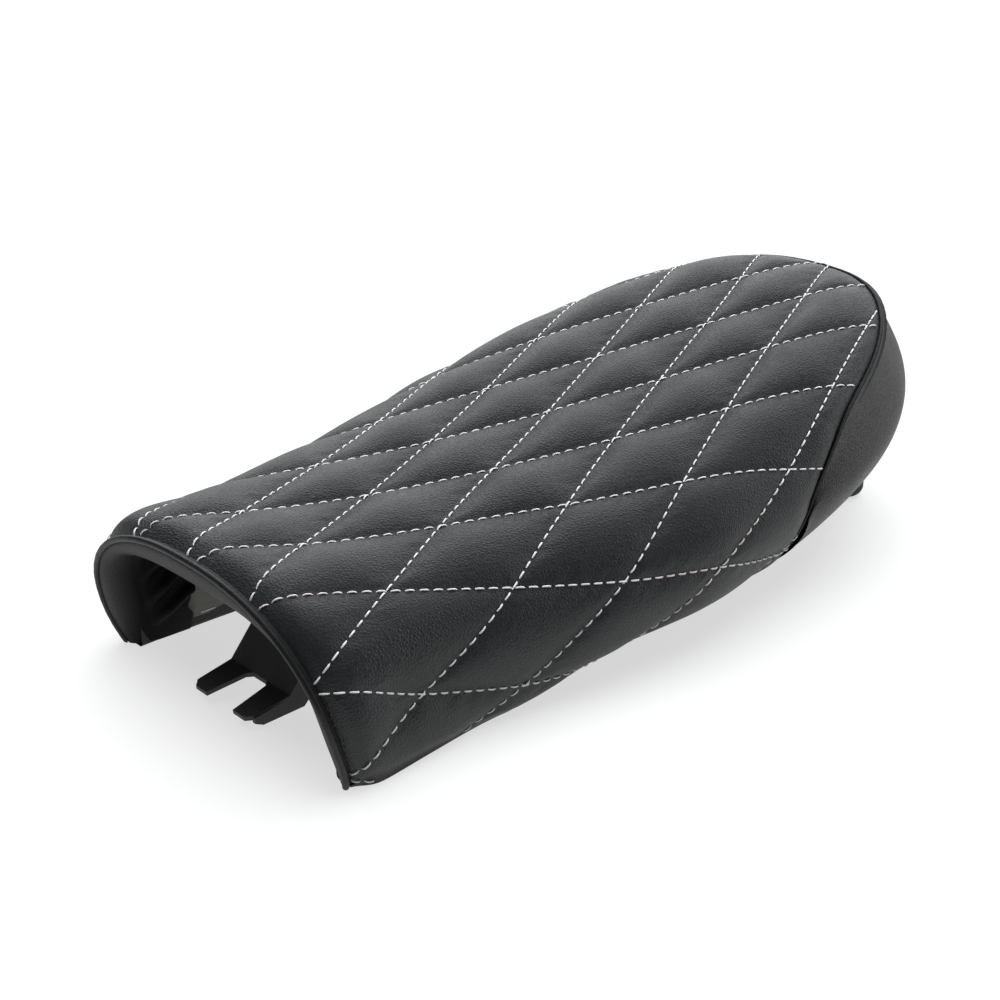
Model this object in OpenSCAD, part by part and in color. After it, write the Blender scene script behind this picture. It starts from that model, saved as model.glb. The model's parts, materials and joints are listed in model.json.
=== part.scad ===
// Quilted cafe-style motorcycle seat, built up in the layers it is made of.
// +X is forward, +Y is the rider's left, +Z is up. The origin is under the middle of the
// seat, on the plane that the skirts and the rear bumpers rest on.

/* [Seat body] */
// Forward reach of the quilted panel at the middle of the front arch
front_x = 264; // [260:1:268]
// Where the straight flanks end and the rounded tail begins
tail_x = -67; // [-70:1:-64]
// Length of the rounded tail, from tail_x to the back of the rear panel
tail_len = 201; // [197:1:204]
// Half width of the seat where it is widest
seat_half_w = 136.5; // [133:0.5:139]
// Rise of the top over the tail, per millimetre of length
tail_rise = 0.2; // [0.17:0.01:0.22]
// How far the bottom corner of the front arch sits behind its crown
arch_rake = 19; // [15:1:24]

/* [Cover] */
// Thickness of the vinyl
skin_t = 1.5; // [1.2:0.1:1.6]
// Thickness of the quilt wadding
wadding_t = 4; // [3.5:0.1:4.2]
// Diameter of the covered welt
welt_d = 5.5; // [5:0.5:6]
// Diameter of the cord inside the welt
cord_d = 3.2; // [2.6:0.1:3.4]
// Height of the cover's edge that is turned up inside the pan
hem_h = 14; // [11:1:16]
// How far the front facing is turned in under the arch
facing_in = 46; // [36:1:50]

/* [Base pan] */
// Wall thickness of the moulded pan
pan_t = 3; // [2.6:0.2:3.2]
// Height of the rubber bumpers under the pan
rail_bumper_h = 12; // [10:1:14]

/* [Front tongue] */
// Overall width of the forked tongue
tongue_w = 54; // [50:1:58]
// Width of the gap between the prongs at their roots
tongue_gap = 20; // [16:1:24]
// Length of the prongs
prong_len = 27; // [22:1:30]
// Sheet thickness of the tongue
tongue_t = 2.5; // [2:0.5:3]
// Slope of the prongs below level, degrees
prong_dip = 9; // [6:1:12]
// Slope of the plate that climbs to the pan, degrees
plate_climb = 50; // [47:1:53]

/* [Rear bracket] */
// Half distance between the two M8 threads
mount_y = 20; // [18:1:22]
// Minor radius of those threads
thread_r = 3.35; // [3.3:0.05:3.4]
// Depth of those threads
thread_len = 22; // [18:1:28]
// Half distance between the two rear bumpers
bumper_y = 46; // [44:1:48]
// Radius of the rear bumpers
bumper_r = 13; // [12:0.5:14]

/* [Quality] */
// Steps along the straight flanks
flank_steps = 9; // [6:1:14]
// Steps around the tail
tail_steps = 9; // [6:1:14]
// Steps from the spine down to the bottom edge
side_steps = 10; // [8:1:14]

/* [Hidden] */
$fn = 48;

gap = 0.4;                         // clearance between neighbouring layers
fit = 0.1;                         // clearance of a pin in its hole
wad_d = skin_t + gap;              // depth of the wadding's outer face below the cover
foam_d = wad_d + wadding_t + gap;  // depth of the foam's outer face below the cover
pan_edge_d = foam_d + gap;         // depth of the pan's outer face at its bottom edge
pan_lift = skin_t + 1;             // the pan's edge ends this far above the cover's fold
foam_relief = 4.5;                 // room that the foam leaves over the pan for hardware
welt_r = welt_d / 2;
welt_x = front_x + 4 - welt_r;     // centre of the front welt at the middle of the arch
seam_clear = welt_r + 1;           // the panels stop this far from a welt's centre line
front_gap = 3;                     // the inner layers start this far behind the front edge

// ---- outline of the seat -------------------------------------------------------------

// Stations along the flanks: x, half width, crown height, height of the widest point,
// height of the bottom edge, how far that edge tucks in, squareness, top of the pan
flank = [
  [front_x, 107.5, 96,    22, 0,  6,  2.35, 77],
  [203,     103,   92.5,  30, 0,  2,  3.4, 74],
  [138,     113.5, 94,    34, 0,  13, 3.3, 74],
  [73,      127,   99.5,  45, 16, 15, 2.9, 69],
  [13,      seat_half_w, 106, 53, 23, 19, 2.9, 66],
  [tail_x,  seat_half_w - 4, 118.5, 64, 24, 21, 3.5, 70]];
WIDTH = 1;
CROWN = 2;
WIDE_Z = 3;
EDGE_Z = 4;
TUCK = 5;
SQUARE = 6;
PAN_Z = 7;

// Slope of column c at station i: that of its two neighbours, or the end's own
function secant(c, a, b) = (flank[b][c] - flank[a][c]) / (flank[b][0] - flank[a][0]);
function slope(c, i) =
  i == 0 ? secant(c, 0, 1)
  : i < len(flank) - 1 ? secant(c, i - 1, i + 1)
  : c == CROWN ? -tail_rise
  : c == WIDTH ? 0 : secant(c, i - 1, i);

// Smooth (Hermite) value of column c at x
function bay(x, i = 0) = i >= len(flank) - 2 || x > flank[i + 1][0] ? i : bay(x, i + 1);
function hermite(a, b, ma, mb, h, t) =
  a * (2 * pow(t, 3) - 3 * pow(t, 2) + 1) + ma * h * (pow(t, 3) - 2 * pow(t, 2) + t)
  + b * (3 * pow(t, 2) - 2 * pow(t, 3)) + mb * h * (pow(t, 3) - pow(t, 2));
function along(c, x) =
  let (i = bay(x), h = flank[i + 1][0] - flank[i][0], t = (x - flank[i][0]) / h)
  hermite(flank[i][c], flank[i + 1][c], slope(c, i), slope(c, i + 1), h, t);

// Share of the tail that lies in front of x: 0 where it begins, 1 at its back end
function in_tail(x) = x < tail_x;
function tail_share(x) = min(1, max(0, (tail_x - x) / tail_len));
function flank_end(c) = flank[len(flank) - 1][c];

back_wide_z = 98;      // height of the widest point at the back of the tail
back_edge_z = 36;      // height of the bottom edge there
back_pan_z = 80;       // height of the pan there
end_fall = 5;          // exponent of the crown's fall at the tail's end
edge_len = 186;        // length of the tail's bottom outline
edge_taper = 1.4;      // exponent of that outline

function to_back(c, back, x) = flank_end(c) + (back - flank_end(c)) * tail_share(x);
function half_w(x) =
  in_tail(x) ? flank_end(WIDTH) * sqrt(1 - pow(tail_share(x), 2)) : along(WIDTH, x);
function wide_z(x) = in_tail(x) ? to_back(WIDE_Z, back_wide_z, x) : along(WIDE_Z, x);
function edge_z(x) = in_tail(x) ? to_back(EDGE_Z, back_edge_z, x) : max(0, along(EDGE_Z, x));
function pan_z(x) = in_tail(x) ? to_back(PAN_Z, back_pan_z, x) : along(PAN_Z, x);
function square(x) = in_tail(x) ? flank_end(SQUARE) + 0.2 * tail_share(x) : along(SQUARE, x);
function crown_z(x) =
  in_tail(x) ? wide_z(x) + (flank_end(CROWN) + tail_rise * (tail_x - x) - wide_z(x))
                 * pow(1 - pow(tail_share(x), end_fall), 1 / end_fall)
             : along(CROWN, x);
function edge_y(x) =
  in_tail(x) ? (flank_end(WIDTH) - flank_end(TUCK))
                 * sqrt(max(0, 1 - pow(min(1, (tail_x - x) / edge_len), edge_taper)))
             : half_w(x) - along(TUCK, x);

// The front edge leans back towards its bottom corners
rake_run = 64;         // length over which the lean fades out
rake_power = 1.9;
function lean(x, z) =
  arch_rake * pow(max(0, 1 - z / flank[0][CROWN]), rake_power)
  * min(1, max(0, (x - front_x + rake_run) / rake_run));

// Point of a half section with half width w, crown zt, widest point at zm, bottom edge at
// (ye, ze) and squareness sq. u is 0 at the spine, 1 at the widest point, 2 at the bottom.
tuck_power = 1.8;
function section(x, u, w, zt, zm, ye, ze, sq) =
  let (a = 90 * min(1, u), q = max(0, u - 1),
       y = u <= 1 ? w * pow(sin(a), 2 / sq) : w - (w - ye) * pow(q, tuck_power),
       z = u <= 1 ? zm + (zt - zm) * pow(cos(a), 2 / sq) : zm - (zm - ze) * q)
  [x - lean(x, z), y, z];

// The cover's section at depth d, with its bottom edge lifted
function cover_point(x, u, d, lift = 0) =
  section(x, u, half_w(x) - d, crown_z(x) - d, wide_z(x), edge_y(x) - d, edge_z(x) + lift,
          square(x));

// The pan's section, at depth d below its upper face. It is flatter on top than the cover's.
pan_square = 7;
pan_side_d = 16;       // depth of the pan's side below the cover along the flanks
pan_back_d = 12;       // and how much deeper it is at the back
pan_waist = 0.45;      // height of the pan's widest point, as a share of its own height
lip_run = 45;          // the pan flares over this length towards the front arch:
lip_rise = 5;          // its top rises,
lip_out = 3;           // its sides spread
lip_round = 4.2;       // and its squareness falls
function lip_share(x) = max(0, 1 - (front_x - x) / lip_run);
function pan_top(x) = pan_z(x) + lip_rise * pow(lip_share(x), 2);
function pan_point(x, u, d, raise = 0) =
  let (zm = edge_z(x) + pan_waist * (pan_top(x) - edge_z(x)),
       side = pan_side_d + pan_back_d * tail_share(x) - lip_out * lip_share(x))
  section(x, u, half_w(x) - side - d, pan_top(x) - d + raise, zm,
          edge_y(x) - pan_edge_d - d, edge_z(x) + pan_lift,
          pan_square - lip_round * lip_share(x));

// ---- the seam between the quilted panel and the rear panel ----------------------------

seam_low_z = 58;       // the seam climbs straight up to here
seam_bend_z = 101.5;   // and sweeps back from here
seam_bend = 35;        // how far behind tail_x that bend is
seam_len = 175.5;      // length of the seam's outline over the tail
seam_half_w = 128.5;   // its half width
seam_x = tail_x - 1;   // where it climbs
function seam_y(x) =
  seam_half_w * pow(max(0, 1 - pow(min(1, (tail_x - x) / seam_len), 1.5)), 0.42);
function seam_z(x) =
  seam_low_z + (seam_bend_z - seam_low_z) * sqrt(max(0, seam_x - x) / (seam_bend - 1));

// Section parameter of the cover at a height, and at a distance from the middle
function u_at_z(x, z) =
  z < wide_z(x) ? 1 + (wide_z(x) - z) / (wide_z(x) - edge_z(x))
  : acos(pow((z - wide_z(x)) / (crown_z(x) - wide_z(x)), square(x) / 2)) / 90;
function u_at_y(x, y) = asin(pow(min(1, y / half_w(x)), square(x) / 2)) / 90;

// Section parameter of the seam at x, for the seam moved forward by shift
function seam_u(x, shift = 0) =
  x > seam_x + shift ? 2
  : x > tail_x - seam_bend + shift ? u_at_z(x, seam_z(x - shift)) : u_at_y(x, seam_y(x - shift));

// ---- generic solids ------------------------------------------------------------------

// Row across the seat from its near half: far edge, spine, near edge
function across(half) =
  concat([for (i = [len(half) - 1 : -1 : 1]) [half[i][0], -half[i][1], half[i][2]]], half);

// Closed shell between two equal grids of points
module shell(outer, inner) {
  rows = len(outer);
  cols = len(outer[0]);
  function id(k, r, c) = (k * rows + r) * cols + c;
  skins = [for (r = [0 : rows - 2], c = [0 : cols - 2]) each [
    [id(0, r, c), id(0, r + 1, c), id(0, r, c + 1)],
    [id(0, r, c + 1), id(0, r + 1, c), id(0, r + 1, c + 1)],
    [id(1, r, c), id(1, r, c + 1), id(1, r + 1, c)],
    [id(1, r, c + 1), id(1, r + 1, c + 1), id(1, r + 1, c)]]];
  ends = [for (c = [0 : cols - 2]) each [
    [id(0, 0, c), id(0, 0, c + 1), id(1, 0, c)],
    [id(0, 0, c + 1), id(1, 0, c + 1), id(1, 0, c)],
    [id(0, rows - 1, c), id(1, rows - 1, c), id(0, rows - 1, c + 1)],
    [id(0, rows - 1, c + 1), id(1, rows - 1, c), id(1, rows - 1, c + 1)]]];
  sides = [for (r = [0 : rows - 2]) each [
    [id(0, r, 0), id(1, r, 0), id(0, r + 1, 0)],
    [id(1, r, 0), id(1, r + 1, 0), id(0, r + 1, 0)],
    [id(0, r, cols - 1), id(0, r + 1, cols - 1), id(1, r, cols - 1)],
    [id(1, r, cols - 1), id(0, r + 1, cols - 1), id(1, r + 1, cols - 1)]]];
  polyhedron(points = concat([for (r = outer) each r], [for (r = inner) each r]),
             faces = concat(skins, ends, sides), convexity = 8);
}

// Rings of points square to a path
function path_dir(path, i) =
  let (v = path[min(len(path) - 1, i + 1)] - path[max(0, i - 1)]) v / norm(v);
function rings(path, r, sides) =
  [for (i = [0 : len(path) - 1])
    let (t = path_dir(path, i), s0 = cross(t, [0, 0.3, 1]), s = s0 / norm(s0), b = cross(s, t))
    [for (k = [0 : sides - 1])
      path[i] + r * (cos(360 * k / sides) * s + sin(360 * k / sides) * b)]];

// Solid rod along a path
module rod(path, r, sides) {
  n = len(path);
  faces = concat(
    [for (i = [0 : n - 2], k = [0 : sides - 1])
      let (a = i * sides + k, b = i * sides + (k + 1) % sides) each [
      [a, b, a + sides], [b, b + sides, a + sides]]],
    [[for (k = [sides - 1 : -1 : 0]) k]],
    [[for (k = [0 : sides - 1]) (n - 1) * sides + k]]);
  polyhedron(points = [for (r = rings(path, r, sides)) each r], faces = faces, convexity = 6);
}

// Hollow sleeve along a path
module sleeve(path, r, bore_r, sides) {
  n = len(path);
  m = n * sides;
  faces = concat(
    [for (i = [0 : n - 2], k = [0 : sides - 1])
      let (a = i * sides + k, b = i * sides + (k + 1) % sides) each [
      [a, b, a + sides], [b, b + sides, a + sides],
      [m + a, m + a + sides, m + b], [m + b, m + a + sides, m + b + sides]]],
    [for (k = [0 : sides - 1])
      let (l = (k + 1) % sides, e = (n - 1) * sides) each [
      [k, m + k, l], [l, m + k, m + l],
      [e + k, e + l, m + e + k], [e + l, m + e + l, m + e + k]]]);
  polyhedron(points = concat([for (r = rings(path, r, sides)) each r],
                             [for (r = rings(path, bore_r, sides)) each r]),
             faces = faces, convexity = 8);
}

module both() {
  children();
  mirror([0, 1, 0]) children();
}

// ---- cover ---------------------------------------------------------------------------

vinyl = [0.06, 0.06, 0.065];

// x of row i of n around a rounded end, from a to b, closer together towards b
function around(a, b, i, n) = a + (b - a) * sin(90 * i / n);
function rows_of(front, back, n) =
  concat([for (i = [0 : flank_steps]) front + (tail_x + seam_clear - front) * i / flank_steps],
         [for (i = [0 : n]) around(tail_x, back, i, n)]);
panel_rows = rows_of(front_x - 1.7, tail_x - seam_len + seam_clear + 0.6, tail_steps);
wadding_rows = rows_of(front_x - front_gap, tail_x - seam_len + seam_clear + 0.6, tail_steps);

function quilt_half(x, d, lift) =
  let (end = seam_u(x, seam_clear))
  [for (i = [0 : side_steps]) cover_point(x, end * i / side_steps, d, lift)];

module quilt_layer(rows, d, t, lift) {
  shell([for (x = rows) across(quilt_half(x, d, lift))],
        [for (x = rows) across(quilt_half(x, d + t, lift))]);
}

module top_panel() {
  color(vinyl) quilt_layer(panel_rows, 0, skin_t, skin_t + gap);
}

module quilt_wadding() {
  color("gainsboro") quilt_layer(wadding_rows, wad_d, wadding_t, skin_t + 2 * gap + 4);
}

// A plain strip sewn to each skirt, turned in under the pan's edge and up inside it
flap_d = pan_edge_d + pan_t + gap;
hem_front = front_x - front_gap;
hem_rows = [for (i = [0 : flank_steps])
  hem_front + (tail_x + seam_clear - hem_front) * i / flank_steps];
function hem_row(x, d) =
  let (z = edge_z(x), y = edge_y(x), lx = x - lean(x, z))
  [[lx, y, z + d], [lx, y - flap_d - skin_t + d, z + d], [lx, y - flap_d - skin_t + d, z + hem_h]];

module hem_strips() {
  color(vinyl) both()
    shell([for (x = hem_rows) hem_row(x, 0)], [for (x = hem_rows) hem_row(x, skin_t)]);
}

// The rear panel bulges from the seam to the tail's widest outline and tucks in below
band_steps = 3;
band_front = 7.5;      // it starts this far behind tail_x
function band_mix(a, b, s) = tail_x - a - (b - a) * s;
function band_row(s) =
  let (xw = band_mix(band_front, seam_len + seam_clear, s),
       xm = band_mix(band_front, tail_len, s),
       xb = band_mix(band_front - 2, edge_len, s),
       top = cover_point(xw, seam_u(xw, -seam_clear), 0),
       wide = [xm, half_w(xm), min(wide_z(xm), top[2] - 3)],
       low = [xb, edge_y(xb), edge_z(xb)])
  concat(
    [for (i = [0 : band_steps])
      let (w = i / band_steps, k = 1 - pow(1 - w, 2))
      [top[0] + (wide[0] - top[0]) * k, top[1] + (wide[1] - top[1]) * k,
       top[2] + (wide[2] - top[2]) * w]],
    [for (i = [1 : band_steps])
      let (w = i / band_steps, k = pow(w, tuck_power))
      [wide[0] + (low[0] - wide[0]) * k, wide[1] + (low[1] - wide[1]) * k,
       wide[2] + (low[2] - wide[2]) * w]]);

// Towards the inside of the tail from a point of row s
function inward(p, s) = let (v = [tail_x - 90 * s, 0, 85] - p) v / norm(v);
function band_inner(s, d) = [for (p = band_row(s)) p + d * inward(p, s)];
function band_flap(s, d) =
  let (p = band_row(s)[2 * band_steps], v = inward(p, s), h = [v[0], v[1], 0] / norm([v[0], v[1]]))
  [p + (flap_d + skin_t - d) * h + [0, 0, d], p + (flap_d + skin_t - d) * h + [0, 0, hem_h]];
band_s = [for (i = [0 : tail_steps]) sin(90 * i / tail_steps)];
function around_tail(rows) =
  concat([for (i = [0 : len(rows) - 1]) rows[i]],
         [for (i = [len(rows) - 2 : -1 : 0]) [for (p = rows[i]) [p[0], -p[1], p[2]]]]);

module rear_panel() {
  color(vinyl)
    shell(around_tail([for (s = band_s) concat(band_row(s), band_flap(s, 0))]),
          around_tail([for (s = band_s) concat(band_inner(s, skin_t), band_flap(s, skin_t))]));
}

// The facing covers the front ends of the layers and is turned in under the arch
facing_d = welt_r + skin_t + 0.4;
face_x = 1.5;          // the facing's outer face lies this far in front of front_x
turn_x = 15;           // it has turned in under the arch this far behind front_x
facing_gap = 1.2;      // and stays this far inside the pan
function arch_point(u, share, x_off, d = 0) =
  let (a = cover_point(front_x, u, facing_d),
       b = pan_point(front_x + (share < 1 ? 0 : x_off), u, pan_t + facing_gap + d))
  share < 1 ? a + (b - a) * share + [x_off, 0, 0] : b;
function facing_grid(d) =
  [for (step = [[0, face_x - d], [0.3, -0.5 - d], [0.6, -4 - d], [0.85, -9 - d],
                [1, -turn_x], [1, -facing_in / 2], [1, -facing_in]])
    across([for (i = [0 : side_steps])
      arch_point(2 * i / side_steps, step[0], step[1], step[0] < 0.9 ? 0 : skin_t - d)])];

module front_facing() {
  color(vinyl) shell(facing_grid(skin_t), facing_grid(0));
}

// ---- welts ---------------------------------------------------------------------------

welt_depth = 1.2;      // the welt's centre line lies this far below the cover's face
arch_path = across([for (i = [0 : side_steps + 2])
  let (p = cover_point(front_x, 2 * i / (side_steps + 2), welt_depth, welt_r))
  p + [welt_x - front_x, 0, 0]]);

climb_steps = 3;
bend_steps = 4;
function seam_point(x) = cover_point(x, seam_u(x), welt_depth);
seam_half = concat(
  [for (i = [0 : climb_steps])
    let (z = edge_z(seam_x) + welt_r + (seam_low_z - edge_z(seam_x) - welt_r) * i / climb_steps)
    cover_point(seam_x, u_at_z(seam_x, z), welt_depth)],
  [for (i = [1 : bend_steps]) seam_point(seam_x - (seam_bend - 2) * pow(i / bend_steps, 2))],
  [for (i = [1 : tail_steps])
    seam_point(around(tail_x - seam_bend, tail_x - seam_len, i, tail_steps))]);
seam_path = concat(seam_half,
  [for (i = [len(seam_half) - 2 : -1 : 0]) [seam_half[i][0], -seam_half[i][1], seam_half[i][2]]]);

welt_sides = 8;
cord_sides = 6;
module welt(path) {
  color(vinyl) sleeve(path, welt_r, cord_d / 2 + fit, welt_sides);
}
module cord(path) {
  color("white") rod(path, cord_d / 2 - fit, cord_sides);
}
module front_welt() { welt(arch_path); }
module front_welt_cord() { cord(arch_path); }
module rear_welt() { welt(seam_path); }
module rear_welt_cord() { cord(seam_path); }

// ---- foam and pan --------------------------------------------------------------------

foam_back_extra = 7;   // the foam lies this much deeper under the rear panel
foam_share = 0.915;    // share of the tail that the foam fills
foam_stop = 1.8;       // section parameter at which the foam ends above the pan's edge
foam_back = tail_x - foam_share * tail_len;
foam_front = front_x - 8;
foam_rows = rows_of(foam_front, foam_back, tail_steps);
module foam_cushion() {
  color("khaki")
    shell([for (x = foam_rows) across([for (i = [0 : side_steps])
            cover_point(x, foam_stop * i / side_steps,
                        foam_d + foam_back_extra * tail_share(x), pan_lift)])],
          [for (x = foam_rows) across([for (i = [0 : side_steps])
            pan_point(x, foam_stop * i / side_steps, -gap, foam_relief)])]);
}

pan_back = tail_x - edge_len + pan_edge_d + pan_t;
pan_front = front_x - 18;  // the facing turns in round its front edge
pan_rows = rows_of(pan_front, pan_back, tail_steps);
pan_close = 0.12;      // the back wall closes to this share of its outline: a drain hole
pan_round = 0.92;      // and is rounded off by this share at its rim
function pan_row(x, d) =
  across([for (i = [0 : side_steps]) pan_point(x, 2 * i / side_steps, d)]);
function pan_wall(x, d, share) =
  let (z0 = edge_z(pan_back) + pan_lift)
  [for (p = pan_row(pan_back, d)) [x, p[1] * share, z0 + (p[2] - z0) * share]];
module pan_shell() {
  shell(concat([for (x = pan_rows) pan_row(x, 0)],
               [pan_wall(pan_back - pan_t, 0, pan_round), pan_wall(pan_back - pan_t, 0, pan_close)]),
        concat([for (x = pan_rows) pan_row(x, pan_t)],
               [pan_wall(pan_back - 0.1, pan_t, pan_round), pan_wall(pan_back - 0.2, pan_t, pan_close)]));
}

// Upright hole through everything at a place
module bore(x, y, r) {
  translate([x, y, 0]) cylinder(h = 200, r = r);
}

module base_pan() {
  color([0.45, 0.45, 0.42]) difference() {
    pan_shell();
    both() {
      for (x = rivet_xs) bore(x, rivet_y, rivet_r + fit);
      for (p = rail_bumper_at) bore(p[0], p[1], stem_r + fit);
      bore(bracket_x, mount_y, screw_r + fit);
    }
  }
}

// ---- front tongue --------------------------------------------------------------------

root_x = 226;          // where the prongs leave the plate
root_z = 12.5;         // height of the sheet's upper face there
flange_z = pan_z(150) - pan_t - gap;   // upper face of the flange under the pan
flange_back = 128;     // rear end of that flange
rivet_xs = [138, 168];
rivet_y = 17;
rivet_r = 2.4;
rivet_head_r = 5;
rivet_head_t = 1.4;
plate_w = 48;          // the backing plate over the pan
plate_t = 1.5;
skirt_low = 2.5;       // height of the prong flanges' lower edge
skirt_back = 213;      // rear end of those flanges

top_x = root_x - (flange_z - root_z) / tan(plate_climb);
tip_x = root_x + prong_len * cos(prong_dip);
tip_z = root_z - prong_len * sin(prong_dip);

// Side profile of the bent sheet, from its upper face down by tongue_t
bend_low = tongue_t * tan((plate_climb + prong_dip) / 2);
bend_top = tongue_t * tan(plate_climb / 2);
module tongue_profile() {
  rotate([90, 0, 0]) linear_extrude(height = tongue_w, center = true)
    polygon([
      [tip_x, tip_z], [root_x, root_z], [top_x, flange_z], [flange_back, flange_z],
      [flange_back, flange_z - tongue_t], [top_x - bend_top, flange_z - tongue_t],
      [root_x - bend_low * cos(prong_dip) - tongue_t * sin(prong_dip),
       root_z - tongue_t * cos(prong_dip) + bend_low * sin(prong_dip)],
      [tip_x - tongue_t * sin(prong_dip), tip_z - tongue_t * cos(prong_dip)]]);
}

// Outline of the tongue from above, with its fork and its oblique tips
prong_in = 3;          // how far the prongs narrow towards their tips
tip_slant = 4;
module tongue_outline() {
  linear_extrude(height = 200, center = true) difference() {
    polygon([
      [flange_back, -tongue_w / 2], [root_x, -tongue_w / 2],
      [tip_x - tip_slant, -tongue_w / 2 + 1], [tip_x + 1, -tongue_w / 2 + 2 * prong_in],
      [tip_x + 1, tongue_w / 2 - 2 * prong_in], [tip_x - tip_slant, tongue_w / 2 - 1],
      [root_x, tongue_w / 2], [flange_back, tongue_w / 2]]);
    polygon([
      [root_x + 3, -tongue_gap / 2 + 1], [root_x, -tongue_gap / 2 + 4],
      [root_x, tongue_gap / 2 - 4], [root_x + 3, tongue_gap / 2 - 1],
      [tip_x + 5, tongue_gap / 2 + prong_in], [tip_x + 5, -tongue_gap / 2 - prong_in]]);
  }
}

// Flange that hangs from the outer edge of a prong
module prong_flange() {
  translate([0, tongue_w / 2, 0]) rotate([90, 0, 0]) linear_extrude(height = tongue_t)
    polygon([
      [tip_x - tip_slant, tip_z + tip_slant * sin(prong_dip) - 1], [root_x, root_z - 1],
      [skirt_back, root_z + (root_x - skirt_back) * tan(plate_climb) - 2.5],
      [skirt_back - 3, root_z + (root_x - skirt_back) * tan(plate_climb) - 2.5],
      [skirt_back, skirt_low + 4], [skirt_back + 4, skirt_low],
      [tip_x - 9, skirt_low - 0.5], [tip_x - tip_slant, skirt_low + 2]]);
}

module tongue_bracket() {
  color([0.1, 0.1, 0.1]) difference() {
    union() {
      intersection() {
        tongue_profile();
        tongue_outline();
      }
      both() prong_flange();
    }
    both() for (x = rivet_xs) bore(x, rivet_y, rivet_r + fit);
  }
}

plate_low = pan_z(150) + gap;
module tongue_backing_plate() {
  color("silver") difference() {
    translate([rivet_xs[0] - 9, -plate_w / 2, plate_low])
      cube([rivet_xs[1] - rivet_xs[0] + 18, plate_w, plate_t]);
    both() for (x = rivet_xs) bore(x, rivet_y, rivet_r + fit);
  }
}

module rivet(low, high) {
  translate([0, 0, low]) cylinder(h = high - low, r = rivet_r);
  translate([0, 0, low - rivet_head_t]) cylinder(h = rivet_head_t, r = rivet_head_r);
  translate([0, 0, high]) cylinder(h = rivet_head_t, r = rivet_head_r - 1);
}
module tongue_rivets() {
  color("silver") both() for (x = rivet_xs) translate([x, rivet_y, 0])
    rivet(flange_z - tongue_t - fit, plate_low + plate_t + fit);
}

// ---- rear bracket and bumpers --------------------------------------------------------

bracket_x = -223;      // centre line of the strap
strap_t = 3;
strap_top = 29.6;      // the strap lies just below the cover's bottom edge
post_r = 9;
screw_r = 3;           // M6, from above the pan into the posts
screw_head_r = 6;
screw_head_t = 2.8;
screw_in = 12;         // how far it reaches into the post
stud_r = 2.5;          // M5, from below through the bumpers into the strap
stud_head_r = 4.8;
post_top = pan_point(bracket_x, 0.2, pan_t)[2] - gap;

module rear_bracket() {
  color([0.12, 0.12, 0.12]) difference() {
    union() {
      translate([bracket_x - bumper_r, -bumper_y, strap_top - strap_t])
        cube([2 * bumper_r, 2 * bumper_y, strap_t]);
      both() translate([bracket_x, bumper_y, strap_top - strap_t])
        cylinder(h = strap_t, r = bumper_r);
      both() translate([bracket_x, mount_y, strap_top - 1])
        cylinder(h = post_top - strap_top + 1, r = post_r);
    }
    both() {
      translate([bracket_x, mount_y, strap_top - strap_t - 1])
        cylinder(h = thread_len + 1, r = thread_r);
      translate([bracket_x, mount_y, post_top - screw_in - 2])
        cylinder(h = screw_in + 3, r = screw_r + fit);
      translate([bracket_x, bumper_y, strap_top - strap_t - 1])
        cylinder(h = strap_t + 2, r = stud_r + fit);
    }
  }
}

screw_seat = pan_point(bracket_x, 0.1, 0)[2] + gap / 2;
module rear_bracket_screws() {
  color("silver") both() translate([bracket_x, mount_y, 0]) {
    translate([0, 0, post_top - screw_in]) cylinder(h = screw_seat - post_top + screw_in + 1,
                                                    r = screw_r);
    translate([0, 0, screw_seat]) cylinder(h = screw_head_t, r = screw_head_r);
  }
}

bumper_top = strap_top - strap_t - fit;
dome_r = 7;            // rounding of the bumper's lower edge
well_h = 9;            // depth of the recess for the screw's head
module rear_bumper() {
  rotate_extrude($fn = 64) difference() {
    union() {
      translate([0, dome_r]) square([bumper_r, bumper_top - dome_r]);
      square([bumper_r - dome_r, bumper_top]);
      translate([bumper_r - dome_r, dome_r]) circle(r = dome_r);
    }
    translate([-bumper_r, -1]) square([bumper_r, bumper_top + 2]);
    translate([0, -1]) square([stud_r + fit, bumper_top + 2]);
    translate([0, -1]) square([stud_head_r + fit, well_h + 1]);
  }
}
module rear_bumpers() {
  color([0.08, 0.08, 0.08]) both() translate([bracket_x, bumper_y, 0]) rear_bumper();
}

module rear_bumper_screws() {
  color("silver") both() translate([bracket_x, bumper_y, 0]) {
    translate([0, 0, well_h - 4]) cylinder(h = 4 - fit, r = stud_head_r);
    translate([0, 0, well_h - 1]) cylinder(h = strap_top - well_h + 1, r = stud_r);
  }
}

// ---- rail bumpers: rubber blocks pushed through the pan -------------------------------

rail_bumper_at = [[95, 60], [-110, 66]];
rail_bumper_r = 12;
stem_r = 4;
stem_head_r = 6.5;
module rail_bumper(x, y) {
  low = pan_z(x) - pan_t - gap - 0.6;
  high = pan_z(x) + gap;
  translate([x, y, low - rail_bumper_h]) cylinder(h = rail_bumper_h, r = rail_bumper_r);
  translate([x, y, low - 1]) cylinder(h = high - low + 2, r = stem_r);
  translate([x, y, high]) cylinder(h = 2.5, r = stem_head_r);
}
module rail_bumpers() {
  color([0.08, 0.08, 0.08]) both() for (p = rail_bumper_at) rail_bumper(p[0], p[1]);
}

// ---- staples -------------------------------------------------------------------------

staple_w = 10;
staple_wire = 0.8;
staple_leg = 3.5;      // through the vinyl and into the pan
// Staple lying in its own XY plane with its legs towards +Y
module staple() {
  translate([-staple_w / 2, -staple_wire, -staple_wire / 2])
    cube([staple_w, staple_wire, staple_wire]);
  for (x = [-staple_w / 2, staple_w / 2 - staple_wire])
    translate([x, -staple_wire / 2, -staple_wire / 2])
      cube([staple_wire, staple_leg, staple_wire]);
}

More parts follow.
